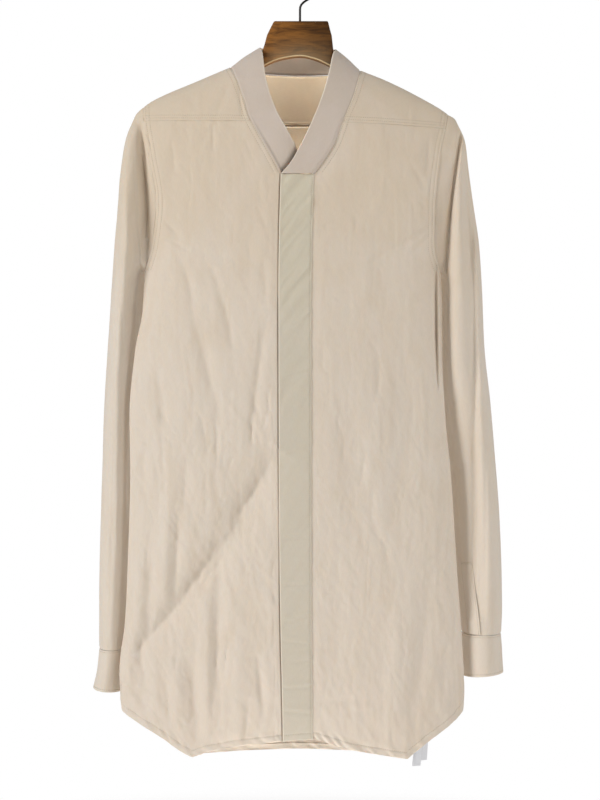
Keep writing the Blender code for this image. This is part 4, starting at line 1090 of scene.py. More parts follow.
def bandSide(side):
    spec = neckBand
    foot = neckFront["foot"] + 0.3 * mm
    seam = bodyByDrop(front, *seamLine(neckFront, side, front, foot, spec["frontRows"]))
    way = lineLengths(seam)
    along = way / way[-1]
    x, z = (readTable(spec, sideName(side) + axis, along) for axis in ("X", "Z"))
    y = readTable(spec, "y", along)
    y = y + (bodyPoint(front, x, z)[:, 1] - y) * (1 - smoothStep(0.40, 0.60, along))
    lapped = np.clip(1 - np.maximum(0, along - 0.25) / 0.3, 0, 1)
    return seam, np.stack([x, y, z], axis=1), (spec["lap"] if side == left else -spec["sunk"]) * lapped


# how far the right end sinks beside the edge of the left end that lies over it
def bandDip(base, dSeam, count):
    rows = np.array(neckBand["rows"][:4]) * mm
    edge = np.interp(base[..., 2], rows[:, 4], rows[:, 3])
    depth, width = neckBand["dip"]
    lower = np.arange(len(base))[:, None] >= len(base) - count
    return depth * lower * groove(np.maximum(0, edge - base[..., 0]), 0, width) * smoothStep(0, 5 * mm, dSeam)


def makeNeckBand(material):
    spec = neckBand
    seamA, topA, liftA = bandSide(left)
    seamC, topC, liftC = bandSide(right)
    seamB = bodyByDrop(back, *neckBackLine(spec["backRows"]))[::-1]
    share = np.linspace(0, 1, spec["backRows"])
    bend = np.sin(np.pi * share)
    swing = (0.5 - 0.5 * np.cos(np.pi * share))[:, None]
    topB = topA[-1] * (1 - swing) + topC[-1] * swing
    topB[:, 1] = spec["backTopY"] * bend ** 0.8
    topB[:, 2] += (spec["backTopZ"] - topB[:, 2]) * bend
    parts = ((seamA, seamB, seamC), (topA, topB, topC), (liftA, 0 * bend, liftC),
             (0 * liftA, bend ** 0.2, 0 * liftC))
    seam, top, lift, behind = (np.concatenate([a, b[1:-1], c[::-1]]) for a, b, c in parts)
    t = crowdedShares(spec["wide"], spec["step"])
    base = seam[:, None, :] + (top - seam)[:, None, :] * t[None, :, None]
    normals = gridNormals(base, np.array([0, 0, -0.3]))
    wide = np.linalg.norm(top - seam, axis=1)[:, None]
    dSeam, dTop = wide * t, wide * (1 - t)
    along = flatPlaces(base)[1]
    off = foldRound(dTop, spec["cloth"])
    detail = lift[:, None] * smoothStep(0, 6 * mm, dSeam) + spec["crown"] * np.sin(np.pi * t)
    detail -= 0.9 * seams["groove"] * groove(dSeam, 0, 1.2 * mm)
    detail += 0.5 * mm * softNoise(along / (34 * mm), dSeam / (26 * mm), 501) * smoothStep(0, 8 * mm, dSeam)
    detail += 0.16 * mm * softNoise(along / (6 * mm), dSeam / (30 * mm), 502) * np.exp(-dSeam / (7 * mm))
    detail -= bandDip(base, dSeam, len(topC))
    # painted highlight along the band's folded top edge; at the back its seam line is lightened too
    fold = np.maximum(0.95 * groove(dTop, 0, 1.1 * mm), 0.3 * behind[:, None] * groove(dSeam, 0, 1.4 * mm))
    return makeCloth("neckband_cloth", base + normals * (detail - off)[..., None], normals,
                     spec["cloth"] - 2 * off, material, edge=fold)


frontPlacket = {
    "size": (0.042, 0.736),
    "steps": (2.2 * mm, 2.4 * mm),
    "cloth": 1.6 * mm,
    "lift": 2.1 * mm,
    "stitchRow": 2.6 * mm,
    "skew": 1.15,              # the puckers climb this steeply from left to right
    "pucker": 1.05 * mm,
    # cross creases: height, where they start and end, slope, depth
    "creases": [
        (-808.5, -22, 19, 0.00, 0.99), (-852, -6, 19, 0.16, 1.08), (-856, -22, -6, 0.00, 0.63),
        (-884, -22, 12, -0.10, 0.81), (-908, -10, 19, 0.12, 0.72), (-942, -22, 19, 0.05, 0.90),
        (-974, -20, 15, -0.08, 0.90), (-748, -22, 10, 0.05, 0.54), (-632, 0, 19, 0.20, 0.54),
        (-536, -22, 19, 0.35, 0.63), (-466, -16, 19, 0.50, 0.63),
    ],
}


def placketDetail(x, z, dFree, dSewn):
    spec = frontPlacket
    slant = z - spec["skew"] * x
    pucker = softNoise(slant / (15 * mm), x / (40 * mm), 601)
    pucker = pucker + 0.5 * softNoise(slant / (6.5 * mm), x / (16 * mm), 602)
    total = spec["pucker"] * (0.65 + 0.9 * smoothStep(-0.60, -0.30, z)) * pucker
    total *= smoothStep(0, 7 * mm, dFree) * smoothStep(0, 4 * mm, dSewn)
    total += 0.60 * mm * softNoise(z / (5.5 * mm), x / (30 * mm), 603) * np.exp(-dSewn / (5 * mm))
    total += 0.10 * mm * softNoise(z / (9 * mm), x / (30 * mm), 604) * np.exp(-dFree / (5 * mm))
    for height, x0, x1, slope, depth in spec["creases"]:
        line = (z - slope * x) / mm - height
        reach = smoothStep(x0 - 4, x0 + 6, x / mm) * (1 - smoothStep(x1 - 6, x1 + 4, x / mm))
        total += depth * mm * reach * (0.5 * groove(line, 4, 3) - groove(line, 0, 1.6))
    return total


def makePlacket(material):
    spec = frontPlacket
    edgeA, edgeB = (lambda z, name=name: readTable(placketEdge, name, z) for name in ("right", "left"))
    foot = neckFront["foot"]
    across, down = (crowdedShares(size, step) for size, step in zip(spec["size"], spec["steps"]))
    x, z = panelPlaces(edgeA, edgeB, atLevel(foot), hemZ(front), across, down)
    base = bodyPoint(front, x, z)
    normals = gridNormals(base, np.array([0, 0, -0.6]))
    dFree, dSewn, dHem = sideDistance(x, z, edgeA), sideDistance(x, z, edgeB), endDistance(x, z, hemZ(front))
    detail = placketDetail(x, z, dFree, dSewn) - 0.5 * mm * groove(foot - z, 0, 1.2 * mm)
    detail += stitchDetail(dSewn, (spec["stitchRow"],)) + stitchDetail(dHem, (seams["hem"],))
    detail -= 0.9 * mm * groove(dSewn, 0, 2.0 * mm)
    off = np.max([foldRound(distance, spec["cloth"]) for distance in (dFree, dSewn, dHem)], axis=0)
    outerFace = base + normals * (spec["lift"] + detail - off)[..., None]
    keepStitches("placket", outerFace, normals, dSewn, (spec["stitchRow"],), alongRows=True, fromEnd=True)
    keepStitches("placket", outerFace, normals, dHem, (seams["hem"],), fromEnd=True)
    # painted highlight along the placket's folded free edge and, fainter, its sewn edge
    fold = np.maximum(0.8 * groove(dFree, 0, 0.9 * mm), 0.25 * groove(dSewn, 0, 0.8 * mm))
    return makeCloth("placket_cloth", outerFace, normals, spec["cloth"] - 2 * off, material, edge=fold)


# sleeves hang edge on: each ring is an oval whose outer and inner points lie on one slanting line
sleeves = {
    right: {
        "columns": "ring outerX outerZ innerX innerZ y depth",
        "rows": [
            (1, -219.5, -194.5, -211, -399.5, 4, 22), (2, -231.2, -223, -214, -402, 7, 34),
            (3, -238, -264, -216, -408, 13, 46), (4, -242.5, -313, -217, -420, 22, 54),
            (5, -248, -365, -217, -440, 31, 59), (6, -253, -430, -216.5, -470, 38, 60),
            (7, -257.5, -500, -218, -515, 41, 60), (8, -262.1, -575, -221.5, -579, 40, 58),
            (9, -264.5, -650, -224, -651, 38, 55), (10, -266.2, -725, -225.5, -725, 36, 53),
            (11, -267.8, -800, -228, -800, 34, 51), (12, -268.5, -860, -231, -860, 32, 48),
            (13, -268.3, -900, -232.5, -900, 31, 45),
        ],
    },
    left: {
        "columns": "ring outerX outerZ innerX innerZ y depth",
        "rows": [
            (1, 207.5, -200, 188.5, -402.5, 4, 22), (2, 219, -226.5, 192.5, -404, 7, 34),
            (3, 224, -264, 195, -408, 12, 45), (4, 231.5, -313, 196, -418, 19, 52),
            (5, 239.5, -365, 195, -436, 26, 56), (6, 244, -430, 193, -464, 31, 58),
            (7, 247, -500, 193, -513, 33, 58), (8, 255, -575, 198.5, -579, 32, 56),
            (9, 261, -650, 204.5, -651, 31, 53), (10, 266.8, -725, 209.5, -725, 30, 51),
            (11, 269.6, -800, 213, -800, 28, 49), (12, 270, -845, 215.8, -845, 27, 46),
            (13, 268.5, -879.8, 217.5, -879.8, 26, 43),
        ],
    },
    # folds on the fronts and backs of the sleeves, as on the body
    "folds": {
        (right, front): [
            (-209.5, -200, -200.5, -392, 2, 3, 6, 11, 1.6), (-217, -330, -224, -470, 1, 6, 5, 5, 1.6),
            (-217, -205, -208.5, -440, 1, 5, 20, -14, 1.8), (-238, -440, -246, -880, 2, 3, 8, -2.4, 1.6),
            (-222, -400, -232, -860, 3, 5, 5, 4, 1.6), (-233, -420, -240, -700, 2, 4, 4, 2.4, 1.4),
            (-244, -540, -252, -880, 1, 4, 4, 1.8, 1.4), (-240, -330, -244, -520, 1, 3, 3, 1.6, 1.4),
            (-253, -600, -258, -760, 1, 3, 4, 1.2, 1.4),
        ],
        (left, front): [
            (216.5, -198, 194, -425, -4.5, 2, 3, 14, 1.8), (198.5, -385, 202, -660, 0, 18, 4, -14, 1.6),
            (226.5, -240, 236.5, -860, -1, 6, 42, 16, 1.6), (218, -215, 224, -440, 0, 8, 8, 6, 2),
            (218, -230, 229, -420, -1, 3, 10, 4, 1.4), (230, -580, 226, -860, 1, 3, 5, 4, 1.4),
            (245, -560, 242, -880, 1, 3, 5, 3, 1.4), (236, -540, 235, -840, 0, 3, 3, -2, 1.6),
            (196, -566, 212, -578, 0, 3, 3, 2.4, 1.2), (198, -582, 208, -584, 0, 2, 2, 1.6, 1.2),
            (219, -240, 220, -320, 0, 3, 3, 2, 1.4),
        ],
        (right, back): [
            (-230, -240, -233, -600, 2, 6, 6, 4, 1.5), (-245, -300, -252, -840, 2, 5, 6, 3, 1.5),
            (-228, -560, -244, -880, 2, 5, 5, 3, 1.4),
        ],
        (left, back): [
            (215, -240, 218, -580, -2, 6, 6, 4, 1.5), (230, -300, 252, -820, -2, 6, 5, 3, 1.5),
            (210, -540, 238, -860, -2, 5, 5, 3, 1.4),
        ],
    },
    # below the armpit cloth reaches behind the body: how far, and the levels between which that fades out
    "tuck": {right: (0.013, -0.470, -0.530), left: (0.010, -0.830, -0.890)},
    "tuckTurn": (205, 24),
    "creases": {right: 0.55, left: 0.42},
    "swell": 1.2,
    "step": 2.8 * mm,
    "around": 112,
    "capRows": 7,
    "capPulls": (0.8, 0.7),   # at the armhole and at the first ring
    "armReach": 0.048,        # mean radius, which turns angles into lengths
}
cuffs = {
    right: {
        "columns": "ring outerX outerZ innerX innerZ y depth",
        "rows": [
            (0, -268.3, -900.4, -232.5, -900.4, 31, 45), (1, -271.2, -927, -234.5, -929, 31, 45),
            (2, -277, -953, -237, -957, 31, 45),
        ],
    },
    left: {
        "columns": "ring outerX outerZ innerX innerZ y depth",
        "rows": [
            (0, 268.5, -880.2, 215.8, -880.2, 26, 43), (1, 269.8, -906, 215.7, -908, 26, 43),
            (2, 271.6, -932, 216.6, -936.5, 26, 43),
        ],
    },
    "tall": 0.053,
    "step": 2.6 * mm,
    "cloth": 1.7 * mm,
    "reach": 0.045,           # mean radius
    "stitchRows": (2.4 * mm, 3.36 * mm),   # at the top and at the open end
}


def ringPoint(table, ring, angle):
    names = table["columns"].split()[1:]
    outerX, outerZ, innerX, innerZ, y, depth = (readTable(table, name, ring) for name in names)
    turn = np.cos(angle)
    x = (outerX + innerX) / 2 + (outerX - innerX) / 2 * turn
    z = (outerZ + innerZ) / 2 + (outerZ - innerZ) / 2 * turn
    return np.stack([x, y - depth * np.sin(angle), z], axis=-1)


# the armhole as a loop of points, read at angles from the shoulder over the front to the armpit and back
def armholeLoop(side, angles):
    count = 200
    frontLine, backLine = (bodyByDrop(face, *seamLine(armholeEdge, side, face, armholeEdge["armpit"], count))
                           for face in (front, back))
    loop = np.concatenate([frontLine[::-1], backLine[1:]])
    top, low = loop[:, 2].max(), loop[:, 2].min()
    turn = np.arccos(np.clip((2 * loop[:, 2] - top - low) / (top - low), -1, 1))
    turn[count:] = 2 * np.pi - turn[count:]
    return np.stack([np.interp(angles, turn, loop[:, k]) for k in range(3)], axis=1)


# a sleeve's first rows run from the armhole on to its first ring as a smooth curve
def sleeveGrid(side):
    table = sleeves[side]
    leaving, arriving = sleeves["capPulls"]
    angles = np.linspace(0, 2 * np.pi, sleeves["around"], endpoint=False)
    loop = armholeLoop(side, angles)
    one = np.ones(len(angles))
    first = ringPoint(table, one, angles)
    onward = (ringPoint(table, one * 1.02, angles) - first) / 0.02
    rows = []
    for t in np.linspace(0, 1, sleeves["capRows"] + 1)[:-1]:
        near, far = 2 * t ** 3 - 3 * t ** 2 + 1, 3 * t ** 2 - 2 * t ** 3
        rows.append(near * loop + (t ** 3 - 2 * t ** 2 + t) * (first - loop) * leaving
                    + far * first + (t ** 3 - t ** 2) * arriving * onward)
    last = len(table["rows"])
    for ring in range(1, last):
        near, far = ringPoint(table, one * ring, angles), ringPoint(table, one * (ring + 1), angles)
        count = max(3, int(round(np.linalg.norm(far - near, axis=1).mean() / sleeves["step"])))
        rows += [ringPoint(table, one * (ring + share), angles) for share in np.arange(count) / count]
    rows.append(ringPoint(table, one * last, angles))
    return np.stack(rows), angles


# how far the folds sink the front and the back of a sleeve towards its middle
def sleeveSunk(side, base, angles):
    total = np.zeros_like(base[..., 0])
    for face in (front, back):
        faces = smoothStep(0.10, 0.50, -face * np.sin(angles))
        total = total - face * faces * foldDepth(sleeves["folds"][side, face], base[..., 0], base[..., 2])
    return total


# below the armpit the back of a sleeve closes the gap beside the body
def sleeveTucked(side, base, angles):
    reach, fade, stop = sleeves["tuck"][side]
    turn, width = sleeves["tuckTurn"]
    z = base[..., 2]
    place = groove(np.degrees(angles), turn, width)
    return -side * reach * place * smoothStep(-0.380, -0.410, z) * (1 - smoothStep(fade, stop, z))


def sleeveDetail(side, base, angles):
    z = base[..., 2]
    turn = angles + 0 * z
    dTop = flatPlaces(base)[1]
    dEnd = dTop[-1:] - dTop
    around = turn * sleeves["armReach"]
    fine = (crumple(around, z, 12 * mm, 46 * mm, 701 + side)
            + 0.5 * crumple(around, z, 7 * mm, 22 * mm, 721 + side))
    broad = softNoise(around / (26 * mm), z / (110 * mm), 741 + side)
    total = mm * (sleeves["creases"][side] * fine + sleeves["swell"] * broad)
    total *= smoothStep(0, 0.5, turn) * smoothStep(0, 0.5, 2 * np.pi - turn)
    total *= smoothStep(0, 16 * mm, dTop) * smoothStep(0, 4 * mm, dEnd)
    total -= seams["groove"] * (0.7 * groove(dTop, 0, 1.4 * mm) + groove(dEnd, 0, 1.2 * mm))
    pleats = softNoise(around / (7 * mm), z * 0, 761 + side)
    total += 0.9 * mm * pleats * np.exp(-dEnd / (16 * mm)) * smoothStep(0, 5 * mm, dEnd)
    pulls = softNoise(around / (9 * mm), z * 0, 771 + side)
    return total + 0.35 * mm * pulls * np.exp(-dTop / (14 * mm)) * smoothStep(0, 5 * mm, dTop)


def makeSleeve(side, material):
    base, angles = sleeveGrid(side)
    base[..., 1] += sleeveSunk(side, base, angles)
    base[..., 0] += sleeveTucked(side, base, angles)
    normals = gridNormals(base, base.mean(axis=1, keepdims=True), closed=True)
    detail = sleeveDetail(side, base, angles)
    return makeCloth("sleeve_" + sideName(side) + "_cloth", base + normals * detail[..., None], normals,
                     seams["cloth"], material, closed=True)


def makeCuff(side, material):
    angles = np.linspace(0, 2 * np.pi, sleeves["around"], endpoint=False)
    rings = crowdedShares(cuffs["tall"], cuffs["step"]) * 2
    base = np.stack([ringPoint(cuffs[side], np.full(len(angles), ring), angles) for ring in rings])
    normals = gridNormals(base, base.mean(axis=1, keepdims=True), closed=True)
    dTop = flatPlaces(base)[1]
    dEnd = dTop[-1:] - dTop
    turn = angles + 0 * dTop
    topRow, endRow = cuffs["stitchRows"]
    off = foldRound(dEnd, cuffs["cloth"])
    detail = stitchDetail(dTop, (topRow,)) + stitchDetail(dEnd, (endRow,))
    detail += 0.35 * mm * np.sin(3 * turn + side) * smoothStep(0, 20 * mm, dTop)
    detail += 0.14 * mm * softNoise(turn * cuffs["reach"] / (5 * mm), dTop / (20 * mm), 801)
    detail -= 0.4 * mm * groove(dTop, 0, 1 * mm)
    outerFace = base + normals * (detail - off)[..., None]
    keepStitches("cuffs", outerFace, normals, dTop, (topRow,))
    keepStitches("cuffs", outerFace, normals, dEnd, (endRow,), fromEnd=True)
    # painted highlight along the cuff's folded open end
    return makeCloth("cuff_" + sideName(side) + "_cloth", outerFace, normals, cuffs["cloth"] - 2 * off,
                     material, closed=True, edge=0.5 * groove(dEnd, 0, 0.9 * mm))


# sleeve plackets: levels of both ends and the part of the ring they cover
sleevePlackets = {
    right: {"top": -0.812, "foot": -0.8985, "start": 196, "end": 228, "lean": 0},
    left: {"top": -0.782, "foot": -0.8782, "start": 102, "end": 140, "lean": 14},
    "size": (0.032, 0.09),
    "steps": (2.0 * mm, 2.6 * mm),
    "cloth": 1.1 * mm,
    "lift": 2.0 * mm,
    "sideRow": 1.8 * mm,
    "topRow": 2.0 * mm,
}


def makeSleevePlacket(side, material):
    common, spec = sleevePlackets, sleevePlackets[side]
    table = sleeves[side]
    wide, tall = common["size"]
    above = 1 - crowdedShares(tall, common["steps"][1], endEdge=False)
    z = spec["foot"] + (spec["top"] - spec["foot"]) * above
    ring = np.interp(-z / mm, [-row[2] for row in table["rows"]], [row[0] for row in table["rows"]])
    turn = np.radians(spec["start"] + (spec["end"] - spec["start"]) * crowdedShares(wide, common["steps"][0]))
    ring, turn = np.meshgrid(ring, turn, indexing="ij")
    turn = turn + np.radians(spec["lean"]) * above[:, None]
    base = ringPoint(table, ring, turn)
    base[..., 1] += sleeveSunk(side, base, turn)
    centre = (ringPoint(table, ring, 0 * turn) + ringPoint(table, ring, 0 * turn + np.pi)) / 2
    normals = gridNormals(base, centre)
    u, v = flatPlaces(base)
    dSide = np.minimum(u, u[:, -1:] - u)
    off = np.maximum(foldRound(dSide, common["cloth"]), foldRound(v, common["cloth"]))
    detail = common["lift"] - off + 0.25 * mm * softNoise(v / (16 * mm), u / (14 * mm), 811)
    detail += stitchDetail(dSide, (common["sideRow"],)) + stitchDetail(v, (common["topRow"],))
    outerFace = base + normals * detail[..., None]
    for distance, fromEnd in ((u, False), (u[:, -1:] - u, True)):
        keepStitches("cuffs", outerFace, normals, distance, (common["sideRow"],),
                     alongRows=True, fromEnd=fromEnd)
    keepStitches("cuffs", outerFace, normals, v, (common["topRow"],))
    # painted highlight along the sleeve placket's folded sides
    return makeCloth("sleeve_placket_" + sideName(side) + "_cloth", outerFace, normals,
                     common["cloth"] - 2 * off, material, edge=0.35 * groove(dSide, 0, 0.8 * mm))


# care labels: blank satin strips sewn in the left side seam, by the x, y and z of their middle line and its
# turn in degrees, from upright (0) to level (90)
careLabels = {
    "care_label_large": {"width": 0.028, "rows": [
        (213.6, -12, -942, 0), (205, -10, -946, 8), (181, -3, -974, 34), (159, 6, -1015, 74),
        (154.8, 8, -1055.8, 98)]},
    "care_label_small": {"width": 0.020, "rows": [
        (212, -12, -908, 0), (205, -14, -911, 8), (187, -18, -942, 36), (168, -20, -992, 70),
        (162.8, -20, -1043, 96)]},
    "cloth": 0.35 * mm,
    "curl": 0.5 * mm,
    "wave": 0.012,
    "across": (0.45, 0.89),   # which way a level strip lies, as x and y
}


def makeLabel(name, material):
    spec = careLabels[name]
    rows = np.array(spec["rows"], dtype=float)
    way = lineLengths(rows[:, :3] * mm)
    where = np.linspace(0, way[-1], 50)
    x, y, z, degrees = (readCurve(way, rows[:, k], where) for k in range(4))
    line = np.stack([x, y, z], axis=1) * mm
    angle = np.radians(degrees)
    wide = np.stack([*(share * np.sin(angle) for share in careLabels["across"]), np.cos(angle)], axis=1)
    wide /= np.linalg.norm(wide, axis=1, keepdims=True)
    across = np.linspace(-0.5, 0.5, 9)
    base = line[:, None] + wide[:, None, :] * (spec["width"] * across)[None, :, None]
    normals = gridNormals(base, np.array([0, 0, -0.5]))
    curl = careLabels["curl"] * (4 * across ** 2 - 0.5 + np.sin(where / careLabels["wave"])[:, None])
    outerFace = base + normals * curl[..., None]
    return makeCloth(name + "_satin", outerFace, normals, careLabels["cloth"], material)


# the hanger: sections of the wood from the right arm through the block to the left arm
hangerForm = {
    "columns": "x top bottom half",
    "rows": [
        (-196.5, -182, -190, 4), (-192, -177.5, -192.5, 5.8), (-180, -171.2, -190.5, 6.5),
        (-131.2, -149, -170.5, 7.5), (-91.8, -133.1, -152.5, 8), (-66, -119.2, -138, 7),
        (-50, -108.6, -129.5, 8), (-43.6, -87.2, -125.8, 9), (-39.6, -79, -123.8, 9),
        (-34.3, -68.7, -121.5, 9), (-20, -68.7, -117.5, 9), (0, -68.7, -115, 9), (20, -68.7, -119, 9),
        (37, -68.7, -126.5, 9), (39.5, -79, -128, 9), (42, -88, -130, 9), (44.6, -111.2, -132.5, 6.4),
        (60, -125, -141, 7), (79.5, -136.8, -153, 8), (111.3, -149.3, -169.5, 7.5),
        (164.3, -176.5, -194, 6.2), (180, -186.5, -199, 5), (184, -190, -198, 3.8),
    ],
    "between": 0.006,         # longest step from one section to the next
    "rounding": 2.0 * mm,
    "highlightWidth": 2.0 * mm,
}


def hangerSections():
    xs = [row[0] * mm for row in hangerForm["rows"]]
    places = []
    for start, end in zip(xs, xs[1:]):
        count = max(1, math.ceil((end - start) / hangerForm["between"]))
        places += [start + (end - start) * k / count for k in range(count)]
    places.append(xs[-1])
    columns = [readTable(hangerForm, name, places).tolist() for name in ("top", "bottom", "half")]
    return list(zip(places, *columns))


def makeHanger(material):
    sections = hangerSections()
    (x0, top0, bottom0, half0), (x1, *_) = sections[:2]
    height, depth, middle = top0 - bottom0, 2 * half0, (top0 + bottom0) / 2
    bpy.ops.object.select_all(action="DESELECT")
    bpy.ops.mesh.primitive_cube_add(size=1, location=(0, 0, 0))
    piece = bpy.context.object
    piece.name = "hanger_wood"
    bpy.ops.object.mode_set(mode="EDIT")
    bpy.ops.mesh.select_all(action="SELECT")
    bpy.ops.transform.resize(value=(x1 - x0, depth, height), center_override=(0, 0, 0))
    bpy.ops.transform.translate(value=((x0 + x1) / 2, 0, middle))
    bpy.ops.mesh.select_all(action="DESELECT")
    bpy.ops.object.mode_set(mode="OBJECT")
    for face in piece.data.polygons:
        face.select = face.normal.x > 0.9
    bpy.ops.object.mode_set(mode="EDIT")
    bpy.ops.mesh.select_mode(type="FACE")
    for k, (x, top, bottom, half) in enumerate(sections[1:]):
        if k:
            bpy.ops.mesh.extrude_region_move(TRANSFORM_OT_translate={"value": (x - sections[k][0], 0, 0)})
        change = (top + bottom) / 2 - middle
        bpy.ops.transform.translate(value=(0, 0, change))
        middle += change
        bpy.ops.transform.resize(value=(1, 2 * half / depth, (top - bottom) / height),
                                 center_override=(x, 0, middle))
        height, depth = top - bottom, 2 * half
    bpy.ops.object.mode_set(mode="OBJECT")
    bevel = piece.modifiers.new("rounding", "BEVEL")
    bevel.width = hangerForm["rounding"]
    bevel.segments = 4
    bevel.limit_method = "ANGLE"
    bevel.angle_limit = math.radians(40)
    bpy.ops.object.modifier_apply(modifier="rounding")
    points = np.zeros(len(piece.data.vertices) * 3)
    piece.data.vertices.foreach_get("co", points)
    x, y, z = points.reshape(-1, 3).T
    # painted highlight: a pale line along the lower front edge of the wood, kept as a vertex attribute
    low = z - readTable(hangerForm, "bottom", x)
    deep = y + readTable(hangerForm, "half", x)
    woodEdgeHighlight = groove(np.hypot(low, deep) - 0.4 * mm, 0, hangerForm["highlightWidth"])
    attribute = piece.data.attributes.new("woodEdgeHighlight", "FLOAT", "POINT")
    attribute.data.foreach_set("value", woodEdgeHighlight.astype(np.float32))
    piece.data.materials.append(material)
    smoothByAngle(piece, 40)
    return piece


# the hook: steel wire, a straight shank, a small bend and a round hook over the shank
wireHook = {
    "wire": 1.5 * mm,         # radius
    "inside": 20.0 * mm,      # radius of the hook's inside
    "start": -62,             # degrees from +X, up over the top
    "end": 205,
    # x and z of the shank from inside the block, and of its bend
    "shank": [(0, -72.5), (0, -60), (0, -53), (0.3, -49), (1.8, -45.6), (5, -42.3)],
}


def makeHook(material):
    spec = wireHook
    radius = spec["inside"] + spec["wire"]
    path = [(x * mm, z * mm) for x, z in spec["shank"]]
    for angle in np.radians(np.linspace(spec["start"], spec["end"], 60)):
        path.append((radius * math.cos(angle), radius * math.sin(angle) - spec["inside"]))
    curve = bpy.data.curves.new("hook_wire", "CURVE")
    curve.dimensions = "3D"
    curve.bevel_depth = spec["wire"]
    curve.bevel_resolution = 4
    curve.use_fill_caps = True
    spline = curve.splines.new("POLY")
    spline.points.add(len(path) - 1)
    for point, (x, z) in zip(spline.points, path):
        point.co = (x, 0, z, 1)
    piece = addPiece("hook_wire", curve)
    activate(piece)
    bpy.ops.object.convert(target="MESH")
    piece.data.materials.append(material)
    smoothByAngle(piece, 50)
    return piece

# every piece with the nodes that it stands for, its finish and, for cloth, its cut
made = [
    (makeFront(right, cotton), ["front_right"], "cotton", {"flat": (0.250, 0.840), "area": 0.189}),
    (makeFront(left, cotton), ["front_left"], "cotton", {"flat": (0.215, 0.840), "area": 0.156}),
    (makeBack(cotton), ["back"], "cotton", {"flat": (0.455, 0.860), "area": 0.374}),
    (makeYoke(cotton), ["yoke"], "cotton", {"flat": (0.410, 0.190), "area": 0.045}),
]
print("stage: body panels made")
made += [
    (makeNeckBand(shadedBandCotton), ["neckband_right", "neckband_left", "neckband_back"], "band_cotton",
     {"flat": (0.620, 0.045), "area": 0.022}),
    (makePlacket(placketCotton), ["placket"], "placket_cotton", {"flat": (0.042, 0.740)}),
]
print("stage: neck band and placket made")
for side in (right, left):
    name = sideName(side)
    made += [
        (makeSleeve(side, cotton), ["sleeve_" + name], "cotton", {"flat": (0.440, 0.710), "area": 0.160}),
        (makeCuff(side, cotton), ["cuff_" + name], "cotton", {"flat": (0.212, 0.055)}),
        (makeSleevePlacket(side, cotton), ["sleeve_placket_" + name], "cotton", {"flat": (0.030, 0.090)}),
    ]
print("stage: sleeves and cuffs made")
for name in ("care_label_large", "care_label_small"):
    made.append((makeLabel(name, satin), [name], "satin", {"flat": (careLabels[name]["width"], 0.112)}))
made += [
    (makeHanger(wood), ["hanger"], "wood", None),
    (makeHook(wire), ["hook"], "wire", None),
]
stitched = {name: makeStitches("stitches_" + name, lines, thread) for name, lines in stitchRows.items()}
print("stage: labels, hanger, hook and stitches made")

for piece, nodes, finish, cut in made:
    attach(piece, "root")
    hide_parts(*nodes)
    area = sum(face.area for face in piece.data.polygons) / 2
    print("piece", piece.name, "half surface", round(area, 4), "faces", len(piece.data.polygons), cut)
for piece in stitched.values():
    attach(piece, "root")
    print("stitches", piece.name, len(piece.data.polygons))


studio = {
    "cameraPlace": (0.0, -2.65, -0.5694),
    "lens": 90,
    "floorLevel": -1.26,
    "floorRadius": 0.95,
    "floorFade": (0.55, 0.98),
    "ambient": 0.38,
    # place, aim, size, power, colour
    "leftWindow": ((-6.25, -4.00, 1.00), (0.0, 0.0, -0.60), 3.8, 366, (0.99, 0.99, 1.0)),
    "rightFill": ((3.00, -3.00, -0.30), (0.0, 0.0, -0.60), 1.8, 32, (1.0, 0.985, 0.97)),
    "rightEdge": ((4.20, -0.50, -0.50), (0.0, 0.0, -0.60), 1.8, 38, (1.0, 0.985, 0.97)),
    "low": ((-0.2, -2.4, -1.9), (0.0, 0.1, -0.8), 1.2, 9.5, (1.0, 0.985, 0.97)),
    "behind": ((0.2, 2.4, -0.70), (0.0, 0.0, -0.60), 1.6, 30, (1.0, 0.985, 0.97)),
    "bounce": ((0.0, -0.03, -1.22), (0.0, 0.06, -1.03), 0.30, 0.65, (1.0, 0.985, 0.97)),
    "glow": ((-0.006, -0.022, -0.47), (-0.006, 0.060, -0.15), 0.008, 4.2, (1.0, 0.92, 0.76)),
    "glowCone": 38,           # daylight that comes through the cloth, at the inside of the neck
}


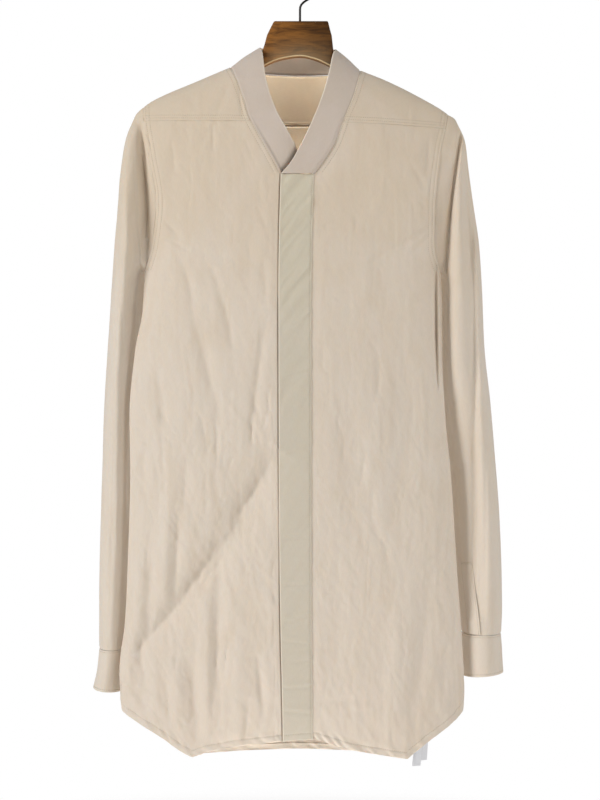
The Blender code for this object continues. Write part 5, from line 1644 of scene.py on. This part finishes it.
def makeLight(name, kind):
    place, aim, size, power, colour = studio[name]
    data = bpy.data.lights.new(name + "Light", kind)
    if kind == "AREA":
        data.shape = "DISK"
        data.size = size
    else:
        data.shadow_soft_size = size
        data.spot_size = math.radians(studio["glowCone"])
        data.spot_blend = 0.9
    data.energy = power
    data.color = colour
    light = bpy.data.objects.new(name + "Light", data)
    light.location = place
    light.rotation_euler = (Vector(aim) - Vector(place)).to_track_quat("-Z", "Y").to_euler()
    light.visible_camera = False
    bpy.context.scene.collection.objects.link(light)


def makeFloor():
    radius = studio["floorRadius"]
    bpy.ops.mesh.primitive_circle_add(vertices=96, radius=radius, fill_type="TRIFAN",
                                      location=(0, 0, studio["floorLevel"]))
    floor = bpy.context.object
    floor.name = "studio_floor"
    material, tree = newMaterial("paleFloor")
    place = addNode(tree, "TexCoord", "Object")
    grain = noise(tree, place, 6.0, 3.0)
    setSurface(tree, {"Base Color": blended(tree, grain, "#f4f3f1", "#f8f7f6"), "Roughness": 0.9})
    reach = addNode(tree, "VectorMath", "Value", {"operation": "LENGTH"}, {"Vector": place})
    fade = remap(tree, reach, [radius * share for share in studio["floorFade"]], kind="SMOOTHSTEP")
    solid = tree.nodes["Principled BSDF"].outputs["BSDF"]
    clear = addNode(tree, "BsdfTransparent", "BSDF")
    both = addNode(tree, "MixShader", "Shader", {}, {0: fade, 1: solid, 2: clear})
    setInputs(tree, tree.nodes["Material Output"], {"Surface": both})
    floor.data.materials.append(material)


def makeWorld():
    world = bpy.data.worlds.new("studioWorld")
    bpy.context.scene.world = world
    world.use_nodes = True
    tree = world.node_tree
    path = tree.nodes.new("ShaderNodeLightPath")
    seen = combined(tree, "MAXIMUM", path.outputs["Is Camera Ray"], path.outputs["Is Transmission Ray"])
    level = remap(tree, seen, (0.0, 1.0), (studio["ambient"], 1.0))
    setInputs(tree, tree.nodes["Background"], {"Color": (1, 1, 1, 1), "Strength": level})


camera = bpy.data.objects.new("photoCamera", bpy.data.cameras.new("photoCamera"))
camera.location = studio["cameraPlace"]
camera.rotation_euler = (math.radians(90), 0, 0)
camera.data.lens = studio["lens"]
camera.data.sensor_width = 36
bpy.context.scene.collection.objects.link(camera)
bpy.context.scene.camera = camera
bpy.context.scene.view_settings.view_transform = "Standard"
for name in ("leftWindow", "rightFill", "rightEdge", "low", "behind", "bounce"):
    makeLight(name, "AREA")
makeLight("glow", "SPOT")
makeFloor()
makeWorld()
print("stage: camera, lights, floor and world made")
